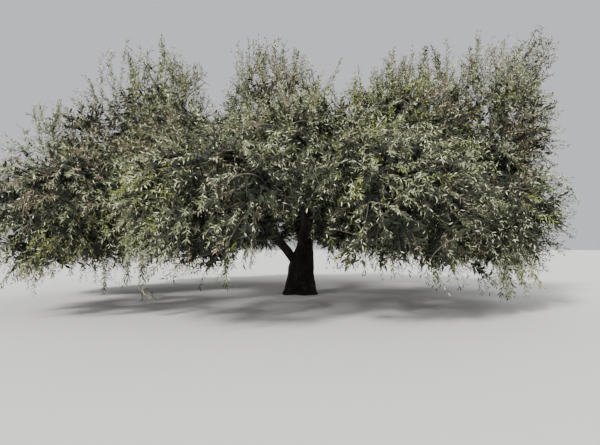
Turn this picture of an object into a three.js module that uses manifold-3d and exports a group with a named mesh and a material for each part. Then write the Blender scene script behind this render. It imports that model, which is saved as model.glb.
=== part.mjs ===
// An old weeping olive tree, in millimetres and +Z up. The origin is the middle of the flat cut under its
// trunk, at ground level. The tree is seen from the front along +Y, with its right side towards +X.
// A short, fluted trunk forks low down. Its boughs carry a wide umbrella of foliage: a ring of weeping masses
// round the space under the tree, a ring of shoulders above them, and peaks of upright shoots on top.
import * as THREE from "three";
import { mergeVertices } from "three/addons/utils/BufferGeometryUtils.js";
import Module from "manifold-3d";

const wasm = await Module();
wasm.setup();

// The trunk leans to the right above its first fork. Its radius is given at each point of its line.
const TRUNK = [
  { at: [0, 0, 0], radius: 540 },
  { at: [10, 0, 450], radius: 425 },
  { at: [25, 0, 850], radius: 390 },
  { at: [85, 8, 1220], radius: 325 },
  { at: [135, 14, 1480], radius: 250 },
  { at: [170, 20, 1800], radius: 205 },
  { at: [240, 20, 2380], radius: 165 },
];
const TRUNK_SIDES = 16;
const TRUNK_RINGS = 10;

// Flutes wind up the trunk, and root lobes stand out at its foot. Both are shares of its radius.
const FLUTES = 5;
const FLUTE_DEPTH = 0.07;
const FLUTE_TWIST = 2.2;
const ROOT_HEIGHT = 500;
const ROOT_LOBES = 3;
const ROOT_TURN = 0.6;
const ROOT_RIDGES = 7;
const ROOT_DEPTH = 0.13;
const RIDGE_DEPTH = 0.08;

// The boughs that leave the trunk: the mass of foliage that each one ends in, and where it starts.
const BOUGHS = [
  { name: "left", mass: "left", height: 620, radius: 155 },
  { name: "back", mass: "back", height: 1750, radius: 145 },
  { name: "right", mass: "right", height: 2180, radius: 145 },
  { name: "front", mass: "shoulder_1", height: 2260, radius: 130 },
  { name: "centre", mass: "centre", height: 2380, radius: 140 },
];
const BOUGH_SIDES = 7;
const BOUGH_RINGS = 7;

// Every other mass has a branch. Its radius is at most a share of its carrier's and of its own length.
const BRANCH_RADIUS = 80;
const BRANCH_TO_CARRIER = 0.8;
const BRANCH_SLIMNESS = 0.06;
const BRANCH_SIDES = 5;
const BRANCH_RINGS = 4;

// A limb tapers to a share of its radius, and bends over a share of its length at either end.
const TIP_SHARE = 0.5;
const TAPER_POWER = 0.8;
const BEND = 0.33;

// The stretch of a limb that branches may leave from, and what it costs a branch to turn, or to start
// within a share of its carrier's length of another branch.
const FIRST_START = 0.2;
const LAST_START = 0.8;
const START_STEP = 0.05;
const TURN_COST = 0.6;
const CROWDING_COST = 300;
const ROOM_BETWEEN = 0.12;

// The gap between neighbouring solids, and the room that foliage leaves round the limbs that pass it.
const CLEARANCE = 0.3;
const ROOM_ROUND_WOOD = 25;

// Two rings of masses. Half sizes of a mass run outwards from the trunk, sideways and upwards, and the
// lists go round from the front by the right.
const WEEPING = {
  half: [1850, 2000, 1650],
  reaches: [5500, 5500, 5700, 5500, 5500, 5600, 6000, 6500, 6700, 5700],
  heights: Array(10).fill(2350),
  firstBearing: 20,
};
const SHOULDERS = {
  half: [1850, 1750, 1450],
  reaches: [3300, 3400, 4000, 3600, 3800, 3800, 4300, 3700],
  heights: [3750, 4400, 4200, 4500, 4400, 4400, 4100, 3800],
  firstBearing: 0,
};

// The peaks of the crown, by their bearing in degrees from the front round by the right.
const PEAKS = [
  { name: "left", bearing: 287, reach: 4000, height: 5400, half: [1600, 1650, 1850] },
  { name: "centre", bearing: 290, reach: 800, height: 5800, half: [1700, 1750, 2000] },
  { name: "right", bearing: 88, reach: 3500, height: 5650, half: [1600, 1700, 1950] },
  { name: "back", bearing: 185, reach: 2700, height: 5500, half: [1700, 1900, 1700] },
  { name: "far_right", bearing: 66, reach: 5500, height: 4950, half: [1400, 1500, 1850] },
  { name: "far_left", bearing: 283, reach: 6200, height: 3850, half: [1200, 1400, 1300] },
];

// How each kind of mass grows: where its limb enters, in shares of its half sizes outwards and upwards, how
// far its leaves bend up or down, how many upright shoots or hanging trails it has, and which way they go.
const HABITS = {
  weeping: { entry: [-0.72, 0.35], bend: -0.9, shoots: 2, shootWay: -1, leavesPerShoot: 1 },
  spreading: { entry: [-0.65, -0.42], bend: -0.6, shoots: 0, shootWay: 1, leavesPerShoot: 0 },
  upright: { entry: [-0.3, -0.78], bend: 0.6, shoots: 3, shootWay: 1, leavesPerShoot: 2 },
};

// The core of a mass, in shares of its half sizes. Its corners lie nearer or further by a share.
const CORE_SHARE = 0.66;
const CORE_RUGGEDNESS = 0.4;

// The stem of a mass, and the twigs that branch from it. None grows towards the dark middle of the tree.
const STEM_BEND = 0.45;
const STEM_RINGS = 3;
const STEM_JOINTS = [0.4, 0.7, 1];
const TWIGS = 7;
const TWIG_REACH = 0.78;
const TWIG_VARIETY = 0.2;
const TWIG_ROOT_RADIUS = 60;
const TWIG_TIP_RADIUS = 40;
const TWIG_SIDES = 3;
const DARK_SIDE = -0.62;
const LIGHT_SLOPE = 0.7;

// Upright shoots and hanging trails, in shares of the half sizes of their mass.
const SHOOT_FOOT = 0.25;
const SHOOT_SPREAD = 0.2;
const SHOOT_LEAN = 1.3;
const SHOOT_REACH = 0.66;
const SHOOT_ROOT_RADIUS = 48;
const SHOOT_TIP_RADIUS = 32;
const SHOOT_LEAF_SHARE = 0.62;
const SHOOT_LEAF_SPACING = 0.35;
const SHOOT_LEAF_LEAN = 0.7;

// Each leaf stands for a spray. It is widest a little under its middle, and its root lies inside its twig.
const LEAF_LENGTH = 1000;
const LEAF_VARIETY = 0.4;
const LEAF_WIDTH_SHARE = 0.45;
const LEAF_THICKNESS = 34;
const LEAF_WIDEST = 0.42;
const LEAF_OUTWARD = 0.6;
const LEAVES_PER_TWIG = 3;
const ROOT_SHARE = 0.95;
const LEAF_SPACING = 0.12;
const LEAF_SIZES_TRIED = [1, 0.75, 0.55];
const LOWEST_LEAF = 420;

// How far inside its mass's own space each kind of point stays.
const ENTRY_MARGIN = 60;
const CORE_MARGIN = 60;
const TWIG_MARGIN = 150;
const SHOOT_MARGIN = 60;

const FIRST_SEED = 101;
const SEED_STEP = 17;
const GOLDEN_ANGLE = Math.PI * (3 - Math.sqrt(5));
const MERGE_DISTANCE = 1e-3;
const UP = new THREE.Vector3(0, 0, 1);
const FIRST_SIDEWAYS = new THREE.Vector3(0.3, 1, 0.1);
const lerp = THREE.MathUtils.lerp;
const bark = new THREE.MeshStandardMaterial({ color: 0x4f463d, roughness: 0.95, metalness: 0 });
const foliage = new THREE.MeshStandardMaterial({ color: 0x7d8569, roughness: 0.7, metalness: 0 });

// Random numbers from 0 to 1, the same stream for the same seed.
function seeded(seed) {
  let state = seed >>> 0;
  return () => {
    state = (state + 0x6d2b79f5) >>> 0;
    let mixed = Math.imul(state ^ (state >>> 15), state | 1);
    mixed ^= mixed + Math.imul(mixed ^ (mixed >>> 7), mixed | 61);
    return ((mixed ^ (mixed >>> 14)) >>> 0) / 2 ** 32;
  };
}

// A closed geometry as a solid, with the corners that its faces share merged and its faces outwards.
function solidOf(geometry) {
  const bare = geometry.clone();
  for (const name of Object.keys(bare.attributes)) {
    if (name !== "position") bare.deleteAttribute(name);
  }
  const merged = mergeVertices(bare, MERGE_DISTANCE);
  const vertProperties = new Float32Array(merged.attributes.position.array);
  const triVerts = new Uint32Array(merged.index.array);
  const solid = new wasm.Manifold(new wasm.Mesh({ numProp: 3, vertProperties, triVerts }));
  if (solid.volume() > 0) return solid;
  for (let i = 0; i < triVerts.length; i += 3) {
    [triVerts[i + 1], triVerts[i + 2]] = [triVerts[i + 2], triVerts[i + 1]];
  }
  return new wasm.Manifold(new wasm.Mesh({ numProp: 3, vertProperties, triVerts }));
}

// A closed round bar along a curve. Its radius is a function of the share of its length and of the angle
// round it. Its rings face along the curve, or along a fixed axis. It can be grown by an extra all over.
function barSolid(curve, radiusAt, sides, rings, extra = 0, axis = null) {
  const across = new THREE.Vector3().crossVectors(axis ?? curve.getTangentAt(0), FIRST_SIDEWAYS).normalize();
  const frames = Array.from({ length: rings + 1 }, (_, i) => {
    const tangent = axis ?? curve.getTangentAt(i / rings);
    across.projectOnPlane(tangent).normalize();
    const middle = curve.getPointAt(i / rings);
    if (i === 0) middle.addScaledVector(tangent, -extra);
    if (i === rings) middle.addScaledVector(tangent, extra);
    return { middle, across: across.clone(), third: new THREE.Vector3().crossVectors(tangent, across) };
  });
  const geometry = new THREE.CylinderGeometry(1, 1, 1, sides, rings);
  const position = geometry.attributes.position;
  for (let i = 0; i < position.count; i++) {
    const share = position.getY(i) + 0.5;
    const { middle, across: sideways, third } = frames[Math.round(share * rings)];
    const [x, z] = [position.getX(i), position.getZ(i)];
    const angle = Math.atan2(z, x);
    const radius = Math.hypot(x, z) * (radiusAt(share, angle) + extra);
    const point = middle.clone().addScaledVector(sideways, -Math.sin(angle) * radius);
    point.addScaledVector(third, -Math.cos(angle) * radius);
    position.setXYZ(i, point.x, point.y, point.z);
  }
  return solidOf(geometry);
}

function largestPiece(solid) {
  return solid.decompose().sort((a, b) => b.volume() - a.volume())[0];
}

// Trunk

function trunkCurve() {
  return new THREE.CatmullRomCurve3(TRUNK.map(({ at }) => new THREE.Vector3(...at)));
}

function trunkRadius(height, angle) {
  const above = Math.max(1, TRUNK.findIndex(({ at }) => at[2] >= height - MERGE_DISTANCE));
  const [low, high] = [TRUNK[above - 1], TRUNK[above]];
  const radius = lerp(low.radius, high.radius, (height - low.at[2]) / (high.at[2] - low.at[2]));
  const twist = (FLUTE_TWIST * height) / TRUNK.at(-1).at[2];
  const flutes = FLUTE_DEPTH * Math.cos(FLUTES * angle + twist);
  const lobes = ROOT_DEPTH * Math.cos(ROOT_LOBES * angle + ROOT_TURN);
  const ridges = RIDGE_DEPTH * Math.cos(ROOT_RIDGES * angle);
  const flare = Math.max(0, 1 - height / ROOT_HEIGHT) ** 2;
  return radius * (1 + flutes + flare * (lobes + ridges));
}

function trunkSolid(extra) {
  const curve = trunkCurve();
  const radiusAt = (share, angle) => trunkRadius(curve.getPointAt(share).z, angle);
  return barSolid(curve, radiusAt, TRUNK_SIDES, TRUNK_RINGS, extra, UP);
}

// Masses of foliage: where each one is, and the space that it keeps to

function makeMass({ name, bearing, reach, height, half, habit }) {
  const angle = THREE.MathUtils.degToRad(bearing);
  const out = new THREE.Vector3(Math.sin(angle), -Math.cos(angle), 0);
  const side = new THREE.Vector3(Math.cos(angle), Math.sin(angle), 0);
  return { name, out, side, middle: out.clone().multiplyScalar(reach).setZ(height), half, habit: HABITS[habit] };
}

function ringOf(kind, habit, { half, reaches, heights, firstBearing }) {
  return reaches.map((reach, i) => {
    const bearing = firstBearing + (i * 360) / reaches.length;
    return { name: `${kind}_${i + 1}`, bearing, reach, height: heights[i], half, habit };
  });
}

function allMasses() {
  const peaks = PEAKS.map((peak) => ({ ...peak, habit: "upright" }));
  const shoulders = ringOf("shoulder", "spreading", SHOULDERS);
  const weeping = ringOf("weeping", "weeping", WEEPING);
  const masses = [...peaks, ...shoulders, ...weeping].map(makeMass);
  masses.forEach((mass, i) => {
    mass.seed = FIRST_SEED + SEED_STEP * i;
    mass.walls = masses.filter((other) => other !== mass).map((other) => wallBetween(mass, other));
    const [out, up] = mass.habit.entry;
    mass.entry = pulledInside(mass, spotIn(mass, out, 0, up), ENTRY_MARGIN);
  });
  return masses;
}

// A point of a mass, in shares of its half sizes outwards, sideways and upwards from its middle.
function spotIn(mass, out, side, up) {
  const spot = mass.middle.clone().addScaledVector(mass.out, out * mass.half[0]);
  return spot.addScaledVector(mass.side, side * mass.half[1]).addScaledVector(UP, up * mass.half[2]);
}

// How far a mass reaches from its middle in a direction.
function reachOf(mass, direction) {
  const parts = [mass.out, mass.side, UP].map((axis, i) => direction.dot(axis) / mass.half[i]);
  return 1 / Math.hypot(...parts);
}

// A mass keeps to its own side of a plane towards each neighbour, which stands where the two reach alike.
function wallBetween(mass, other) {
  const normal = other.middle.clone().sub(mass.middle);
  const distance = normal.length();
  normal.normalize();
  const [mine, theirs] = [reachOf(mass, normal), reachOf(other, normal)];
  return { normal, limit: (distance * mine) / (mine + theirs) - CLEARANCE };
}

function isInside(mass, point) {
  const offset = point.clone().sub(mass.middle);
  return point.z > LOWEST_LEAF && mass.walls.every(({ normal, limit }) => offset.dot(normal) < limit);
}

// A point drawn towards the middle of its mass until it is a margin inside the mass's own space.
function pulledInside(mass, point, margin) {
  const offset = point.clone().sub(mass.middle);
  let share = 1;
  for (const { normal, limit } of mass.walls) {
    const depth = offset.dot(normal);
    if (depth > 0) share = Math.min(share, Math.max(0, limit - margin) / depth);
  }
  return mass.middle.clone().addScaledVector(offset, share);
}

// Limbs: boughs from the trunk, and branches from the boughs or from other branches

// A limb leaves half along its carrier's way, and ends half along the way into its mass. The stem of its
// mass goes on along the same way.
function makeLimb(name, mass, start, along, radius, sides, rings) {
  const span = mass.entry.clone().sub(start);
  const handle = BEND * span.length();
  span.normalize();
  const leaving = span.clone().add(along).normalize();
  mass.stemWay = mass.middle.clone().sub(mass.entry).normalize().add(span).normalize();
  mass.stemRadius = TIP_SHARE * radius;
  const curve = new THREE.CubicBezierCurve3(
    start,
    start.clone().addScaledVector(leaving, handle),
    mass.entry.clone().addScaledVector(mass.stemWay, -handle),
    mass.entry.clone(),
  );
  const radiusAt = (share) => lerp(radius, mass.stemRadius, share ** TAPER_POWER);
  return { name, curve, radiusAt, sides, rings, taken: [] };
}

function limbSolid(limb, extra) {
  return barSolid(limb.curve, limb.radiusAt, limb.sides, limb.rings, extra);
}

// The place on the limbs made so far from which a branch reaches its mass with the least length and turn.
function bestStart(limbs, mass) {
  const inward = mass.middle.clone().sub(mass.entry).normalize();
  let best = { cost: Infinity };
  for (const limb of limbs) {
    for (let share = FIRST_START; share < LAST_START + START_STEP / 2; share += START_STEP) {
      const start = limb.curve.getPointAt(share);
      const along = limb.curve.getTangentAt(share);
      const span = mass.entry.clone().sub(start);
      const length = span.length();
      span.normalize();
      const turns = TURN_COST * (2 - span.dot(along) - span.dot(inward));
      const crowding = limb.taken.filter((other) => Math.abs(other - share) < ROOM_BETWEEN).length;
      const cost = length * (1 + turns) + CROWDING_COST * crowding;
      if (cost < best.cost) best = { cost, limb, share, start, along, length };
    }
  }
  return best;
}

function allLimbs(masses) {
  const trunk = trunkCurve();
  const limbs = BOUGHS.map((bough) => {
    const mass = masses.find(({ name }) => name === bough.mass);
    const share = bough.height / TRUNK.at(-1).at[2];
    const [start, along] = [trunk.getPointAt(share), trunk.getTangentAt(share)];
    return makeLimb(`bough_${bough.name}`, mass, start, along, bough.radius, BOUGH_SIDES, BOUGH_RINGS);
  });
  for (const mass of masses.filter(({ name }) => !BOUGHS.some((bough) => bough.mass === name))) {
    const { limb, share, start, along, length } = bestStart(limbs, mass);
    limb.taken.push(share);
    const radius = Math.min(BRANCH_RADIUS, limb.radiusAt(share) * BRANCH_TO_CARRIER, length * BRANCH_SLIMNESS);
    limbs.push(makeLimb(`branch_${mass.name}`, mass, start, along, radius, BRANCH_SIDES, BRANCH_RINGS));
  }
  return limbs;
}

// Inside a mass: its core, stem, twigs and leaves

function coreSolid(mass, random) {
  const ball = new THREE.DodecahedronGeometry(1).deleteAttribute("normal").deleteAttribute("uv");
  const geometry = mergeVertices(ball, MERGE_DISTANCE);
  const position = geometry.attributes.position;
  for (let i = 0; i < position.count; i++) {
    const share = CORE_SHARE * (1 + CORE_RUGGEDNESS * (random() - 0.5));
    const spot = spotIn(mass, position.getX(i) * share, position.getY(i) * share, position.getZ(i) * share);
    position.setXYZ(i, ...pulledInside(mass, spot, CORE_MARGIN).toArray());
  }
  return solidOf(geometry);
}

// The stem goes on from the limb's tip and bends into the middle of the mass.
function stemCurve(mass) {
  const start = mass.entry.clone().addScaledVector(mass.stemWay, CLEARANCE);
  const handle = STEM_BEND * start.distanceTo(mass.middle);
  const bend = start.clone().addScaledVector(mass.stemWay, handle);
  return new THREE.QuadraticBezierCurve3(start, bend, mass.middle.clone());
}

// The ends of a mass's twigs are spread evenly over it by the golden angle. Each twig starts from the
// nearest point of what has grown before it: the stem, or the middle of an earlier twig.
function growTwigs(mass) {
  const random = seeded(mass.seed);
  const light = mass.out.clone().setZ(LIGHT_SLOPE).normalize();
  const stem = stemCurve(mass);
  const joints = STEM_JOINTS.map((share) => stem.getPointAt(share));
  const twigs = [];
  for (let i = 0; i < TWIGS; i++) {
    const up = 1 - (2 * (i + 0.5)) / TWIGS;
    const ring = Math.sqrt(1 - up * up);
    const turn = i * GOLDEN_ANGLE + random();
    const reach = TWIG_REACH * (1 + TWIG_VARIETY * (random() - 0.5));
    const spot = spotIn(mass, ring * Math.cos(turn) * reach, ring * Math.sin(turn) * reach, up * reach);
    const end = pulledInside(mass, spot, TWIG_MARGIN);
    const outward = spot.sub(mass.middle).normalize();
    if (light.dot(outward) < DARK_SIDE) continue;
    const start = joints.reduce((a, b) => (a.distanceTo(end) < b.distanceTo(end) ? a : b));
    twigs.push({ start, end, outward });
    joints.push(start.clone().lerp(end, 0.5));
  }
  return twigs;
}

// A shoot that stands up from the top of a peak, or a trail that hangs from the underside of a weeping mass.
function growShoot(mass, i, random) {
  const turn = i * GOLDEN_ANGLE + random();
  const spread = SHOOT_SPREAD * (1 + random());
  const reach = SHOOT_REACH * (1 + TWIG_VARIETY * random());
  const [out, side] = [Math.cos(turn) * spread, Math.sin(turn) * spread];
  const foot = spotIn(mass, out, side, SHOOT_FOOT * mass.habit.shootWay);
  const tip = spotIn(mass, SHOOT_LEAN * out, SHOOT_LEAN * side, reach * mass.habit.shootWay);
  return { start: pulledInside(mass, foot, TWIG_MARGIN), end: pulledInside(mass, tip, SHOOT_MARGIN) };
}

// The ways that a twig's leaves point: out to its sides and down or up by the habit of the mass, close along
// the outside of the mass.
function leafWays(mass, outward, random) {
  const across = new THREE.Vector3().crossVectors(outward, UP).normalize();
  const third = new THREE.Vector3().crossVectors(outward, across);
  const turn = random() * Math.PI;
  return Array.from({ length: LEAVES_PER_TWIG }, (_, i) => {
    const angle = turn + (i * 2 * Math.PI) / LEAVES_PER_TWIG;
    const way = across.clone().multiplyScalar(Math.cos(angle)).addScaledVector(third, Math.sin(angle));
    way.addScaledVector(UP, mass.habit.bend).projectOnPlane(outward).normalize();
    return way.addScaledVector(outward, LEAF_OUTWARD).normalize();
  });
}

// The six corners of a leaf from its root along a way, with its blade flat to a normal: the two ends of its
// length, of its width and of its thickness.
function leafCorners(root, way, normal, length) {
  const side = new THREE.Vector3().crossVectors(normal, way).normalize();
  const face = new THREE.Vector3().crossVectors(way, side).normalize();
  const wide = root.clone().addScaledVector(way, LEAF_WIDEST * length);
  const ends = (direction, size) => [-0.5, 0.5].map((sign) => wide.clone().addScaledVector(direction, sign * size));
  const tip = root.clone().addScaledVector(way, length);
  return [[root, tip], ends(side, LEAF_WIDTH_SHARE * length), ends(face, LEAF_THICKNESS)];
}

// A leaf has the eight faces of an octahedron, whose corners are moved to the leaf's own.
function leafSolid(corners) {
  const geometry = new THREE.OctahedronGeometry(1);
  const position = geometry.attributes.position;
  for (let i = 0; i < position.count; i++) {
    const signs = [position.getX(i), position.getY(i), position.getZ(i)].map(Math.round);
    const axis = signs.findIndex((sign) => sign !== 0);
    position.setXYZ(i, ...corners[axis][signs[axis] > 0 ? 1 : 0].toArray());
  }
  return solidOf(geometry);
}

function taperedBar({ start, end }, rootRadius, tipRadius) {
  const radiusAt = (share) => lerp(rootRadius, tipRadius, share);
  return barSolid(new THREE.LineCurve3(start, end), radiusAt, TWIG_SIDES, 1);
}

// A whole mass. A leaf that would leave the mass's space or come near a limb is made smaller or left out.
function massSolid(mass, wood) {
  const random = seeded(mass.seed + 1);
  const isClear = (solid) => solid.intersect(wood).isEmpty();
  const stemRadius = (share) => lerp(mass.stemRadius, TWIG_TIP_RADIUS, share);
  const core = largestPiece(coreSolid(mass, random).subtract(wood));
  const pieces = [barSolid(stemCurve(mass), stemRadius, BRANCH_SIDES, STEM_RINGS), core];

  const addLeaf = (twig, share, way, normal, length) => {
    const root = twig.start.clone().lerp(twig.end, share);
    for (const size of LEAF_SIZES_TRIED) {
      const corners = leafCorners(root, way, normal, length * size);
      const leaf = leafSolid(corners);
      if (corners.flat().every((corner) => isInside(mass, corner)) && isClear(leaf)) {
        pieces.push(leaf);
        return;
      }
    }
  };

  for (const twig of growTwigs(mass)) {
    const bar = taperedBar(twig, TWIG_ROOT_RADIUS, TWIG_TIP_RADIUS);
    if (!isClear(bar)) continue;
    pieces.push(bar);
    leafWays(mass, twig.outward, random).forEach((way, i) => {
      const length = LEAF_LENGTH * (1 + LEAF_VARIETY * (random() - 0.5));
      addLeaf(twig, ROOT_SHARE - LEAF_SPACING * i, way, twig.outward, length);
    });
  }

  for (let i = 0; i < mass.habit.shoots; i++) {
    const shoot = growShoot(mass, i, random);
    const bar = taperedBar(shoot, SHOOT_ROOT_RADIUS, SHOOT_TIP_RADIUS);
    if (!isClear(bar)) continue;
    pieces.push(bar);
    const turned = i % 2 ? 1 : -1;
    for (let k = 0; k < mass.habit.leavesPerShoot; k++) {
      const way = shoot.end.clone().sub(shoot.start).normalize();
      way.addScaledVector(mass.side, k * turned * SHOOT_LEAF_LEAN).normalize();
      const normal = k === 0 && turned > 0 ? mass.side : mass.out;
      addLeaf(shoot, ROOT_SHARE - SHOOT_LEAF_SPACING * k, way, normal, SHOOT_LEAF_SHARE * LEAF_LENGTH);
    }
  }
  return largestPiece(wasm.Manifold.union(pieces));
}

// The tree

function meshOf(name, solid, material) {
  const made = solid.getMesh();
  const geometry = new THREE.BufferGeometry();
  geometry.setAttribute("position", new THREE.BufferAttribute(new Float32Array(made.vertProperties), 3));
  geometry.setIndex(new THREE.BufferAttribute(new Uint32Array(made.triVerts), 1));
  geometry.computeVertexNormals();
  const mesh = new THREE.Mesh(geometry, material);
  mesh.name = name;
  return mesh;
}

const masses = allMasses();
const limbs = allLimbs(masses);
const tree = new THREE.Group();
tree.name = "olive_tree";
tree.add(meshOf("trunk", trunkSolid(0), bark));

// Each limb is cut off where the trunk or an earlier limb begins.
const grown = [trunkSolid(CLEARANCE)];
for (const limb of limbs) {
  const solid = largestPiece(wasm.Manifold.difference([limbSolid(limb, 0), ...grown]));
  tree.add(meshOf(limb.name, solid, bark));
  grown.push(limbSolid(limb, CLEARANCE));
}

const limbRoom = limbs.map((limb) => limbSolid(limb, ROOM_ROUND_WOOD));
const wood = wasm.Manifold.union([trunkSolid(ROOM_ROUND_WOOD), ...limbRoom]);
for (const mass of masses) {
  tree.add(meshOf(`foliage_${mass.name}`, massSolid(mass, wood), foliage));
}

export default tree;
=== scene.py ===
"""An old weeping olive tree: fluted trunk, boughs, branches, twigs and many small leaves in sprays.

The skeleton follows the rule of the tree's solids. Every mass of foliage keeps to its own space, its stem
goes on from the tip of its limb, and its twigs start from the nearest point of what has grown before them.
Finer twigs and sprays of leaves then grow from those twigs by the same rule.
"""
import functools
import math

import bpy
import numpy as np
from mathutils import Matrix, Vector, noise
from mathutils.kdtree import KDTree


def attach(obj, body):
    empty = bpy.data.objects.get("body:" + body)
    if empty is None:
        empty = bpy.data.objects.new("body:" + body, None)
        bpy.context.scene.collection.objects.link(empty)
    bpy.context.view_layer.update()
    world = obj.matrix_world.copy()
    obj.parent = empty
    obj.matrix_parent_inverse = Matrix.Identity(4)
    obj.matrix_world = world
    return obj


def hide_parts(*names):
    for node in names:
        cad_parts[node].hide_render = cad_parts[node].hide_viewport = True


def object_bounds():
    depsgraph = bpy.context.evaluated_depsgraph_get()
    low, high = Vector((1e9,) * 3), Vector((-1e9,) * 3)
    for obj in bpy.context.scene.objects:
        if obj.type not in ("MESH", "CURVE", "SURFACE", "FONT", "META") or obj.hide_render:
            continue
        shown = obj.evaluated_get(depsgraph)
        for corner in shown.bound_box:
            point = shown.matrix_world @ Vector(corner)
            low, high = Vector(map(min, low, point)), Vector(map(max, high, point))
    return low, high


bl_info = {
    "name": "Weeping olive tree",
    "version": (1, 0, 0),
    "blender": (4, 5, 0),
    "location": "View3D > Sidebar > Olive",
    "description": "Builds an old weeping olive tree with its bark, twigs and leaves",
    "category": "Add Mesh",
}

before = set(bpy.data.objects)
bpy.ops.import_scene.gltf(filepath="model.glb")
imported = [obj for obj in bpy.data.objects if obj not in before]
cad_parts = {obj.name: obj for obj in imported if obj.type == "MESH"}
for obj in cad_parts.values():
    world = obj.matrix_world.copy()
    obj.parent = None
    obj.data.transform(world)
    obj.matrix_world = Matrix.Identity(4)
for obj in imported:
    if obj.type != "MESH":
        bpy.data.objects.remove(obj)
FRAME_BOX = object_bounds()

# The skeleton of the tree, as in its solids, in metres.
TRUNK = [
    ((0, 0, 0), 0.540),
    ((0.010, 0, 0.450), 0.425),
    ((0.025, 0, 0.850), 0.390),
    ((0.085, 0.008, 1.220), 0.325),
    ((0.135, 0.014, 1.480), 0.250),
    ((0.170, 0.020, 1.800), 0.205),
    ((0.240, 0.020, 2.380), 0.165),
]
FLUTES = 5
FLUTE_DEPTH = 0.07
FLUTE_TWIST = 2.2
ROOT_HEIGHT = 0.5
ROOT_LOBES = 3
ROOT_TURN = 0.6
ROOT_RIDGES = 7
ROOT_DEPTH = 0.13
RIDGE_DEPTH = 0.08

# Boughs: name, mass, height of the start on the trunk, and radius.
BOUGHS = [
    ("left", "left", 0.620, 0.155),
    ("back", "back", 1.750, 0.145),
    ("right", "right", 2.180, 0.145),
    ("front", "shoulder_1", 2.260, 0.130),
    ("centre", "centre", 2.380, 0.140),
]
BRANCH_RADIUS = 0.080
BRANCH_TO_CARRIER = 0.8
BRANCH_SLIMNESS = 0.06
TIP_SHARE = 0.5
TAPER_POWER = 0.8
BEND = 0.33
FIRST_START = 0.2
LAST_START = 0.8
START_STEP = 0.05
TURN_COST = 0.6
CROWDING_COST = 0.3
ROOM_BETWEEN = 0.12
CLEARANCE = 0.0003

# Masses: half sizes outwards, sideways and upwards, distance from the trunk's axis, and height.
WEEPING_HALF = (1.85, 2.0, 1.65)
WEEPING_REACHES = (5.5, 5.5, 5.7, 5.5, 5.5, 5.6, 6.0, 6.5, 6.7, 5.7)
WEEPING_HEIGHT = 2.35
WEEPING_FIRST_BEARING = 20
SHOULDER_HALF = (1.85, 1.75, 1.45)
SHOULDER_REACHES = (3.3, 3.4, 4.0, 3.6, 3.8, 3.8, 4.3, 3.7)
SHOULDER_HEIGHTS = (3.75, 4.4, 4.2, 4.5, 4.4, 4.4, 4.1, 3.8)
PEAKS = [
    ("left", 287, 4.0, 5.4, (1.6, 1.65, 1.85)),
    ("centre", 290, 0.8, 5.8, (1.7, 1.75, 2.0)),
    ("right", 88, 3.5, 5.65, (1.6, 1.7, 1.95)),
    ("back", 185, 2.7, 5.5, (1.7, 1.9, 1.7)),
    ("far_right", 66, 5.5, 4.95, (1.4, 1.5, 1.85)),
    ("far_left", 283, 6.2, 3.85, (1.2, 1.4, 1.3)),
]
ENTRIES = {"weeping": (-0.72, 0.35), "spreading": (-0.65, -0.42), "upright": (-0.3, -0.78)}
ENTRY_MARGIN = 0.06
TWIG_MARGIN = 0.15
STEM_BEND = 0.45
STEM_JOINTS = (0.4, 0.7, 1.0)
TWIGS = 7
TWIG_REACH = 0.78
TWIG_VARIETY = 0.2
DARK_SIDE = -0.62
LIGHT_SLOPE = 0.7
FIRST_SEED = 101
SEED_STEP = 17
GOLDEN_ANGLE = math.pi * (3 - math.sqrt(5))
UP = np.array([0.0, 0.0, 1.0])

# How foliage grows: how far twigs arch, how far sprays rise or hang, how many shoots stand on top in shares
# of the peaks' number, how high their tips stand out, and their length.
HABITS = {
    "weeping": {"arch": 0.2, "lift": -0.62, "shoots": 0, "rise": (0, 0), "shoot": (0.5, 0.8)},
    "spreading": {"arch": 0.15, "lift": 0.0, "shoots": 0.3, "rise": (0.0, 0.25), "shoot": (0.5, 0.9)},
    "upright": {"arch": -0.05, "lift": 0.75, "shoots": 1, "rise": (-0.55, 0.15), "shoot": (1.0, 1.7)},
}

# The blended surface of the crown: how sharply masses stand apart, the share of its depth that counts below
# the middle of a weeping mass, so that it hangs lower, and small lobes that fill hollows between masses
# (place, half sizes and habit).
BLEND = 5.0
HANG = 0.8
LOBES = [
    ((-5.95, -1.4, 4.75), (0.95, 1.0, 0.95), "spreading"),
    ((5.6, -2.1, 4.3), (1.1, 1.2, 1.1), "spreading"),
    ((5.0, -1.6, 4.7), (1.1, 1.1, 1.0), "spreading"),
]
# Its hills and hollows, and in depths from 0 in the middle of a mass to 1 on the surface: where sprays grow,
# how deep they reach on the peaks, and how far out the inner leaves, dark with painted shade, lie where
# nothing shades them.
HILLS = 0.09
HILL_SIZE = 1.3
LAYER = (0.68, 0.91)
LAYER_OF_PEAKS = 0.25
SHADE = 0.7

# Round tubes: their sides and rings, the spacing of rings on branches, how much thicker a branch starts and
# over what length, and a direction along which no limb runs, from which the first ring is turned.
TRUNK_SIDES, TRUNK_RINGS = 96, 90
BOUGH_SIDES, BOUGH_RINGS = 24, 48
BRANCH_SIDES, BRANCH_STEP = 12, 0.05
COLLAR, COLLAR_LENGTH = 0.5, 0.12
ACROSS = (0.3, 1, 0.1)

# Radii at both ends of stems, twigs and sprays. Lines that start no thicker than SPRAY_LIMIT are sprays.
STEM_END = 0.028
TWIG_RADII = (0.03, 0.012)
FINE_TWIG_RADII = (0.014, 0.006)
SPRAY_RADII = (0.0055, 0.0001)
SPRAY_LIMIT = 0.006

# Where fine twigs end in shares of the way to the surface, and their distance from neighbouring masses.
TWIG_ENDS = (0.5, 0.88)
FINE_TWIG_MARGIN = 0.03

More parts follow.
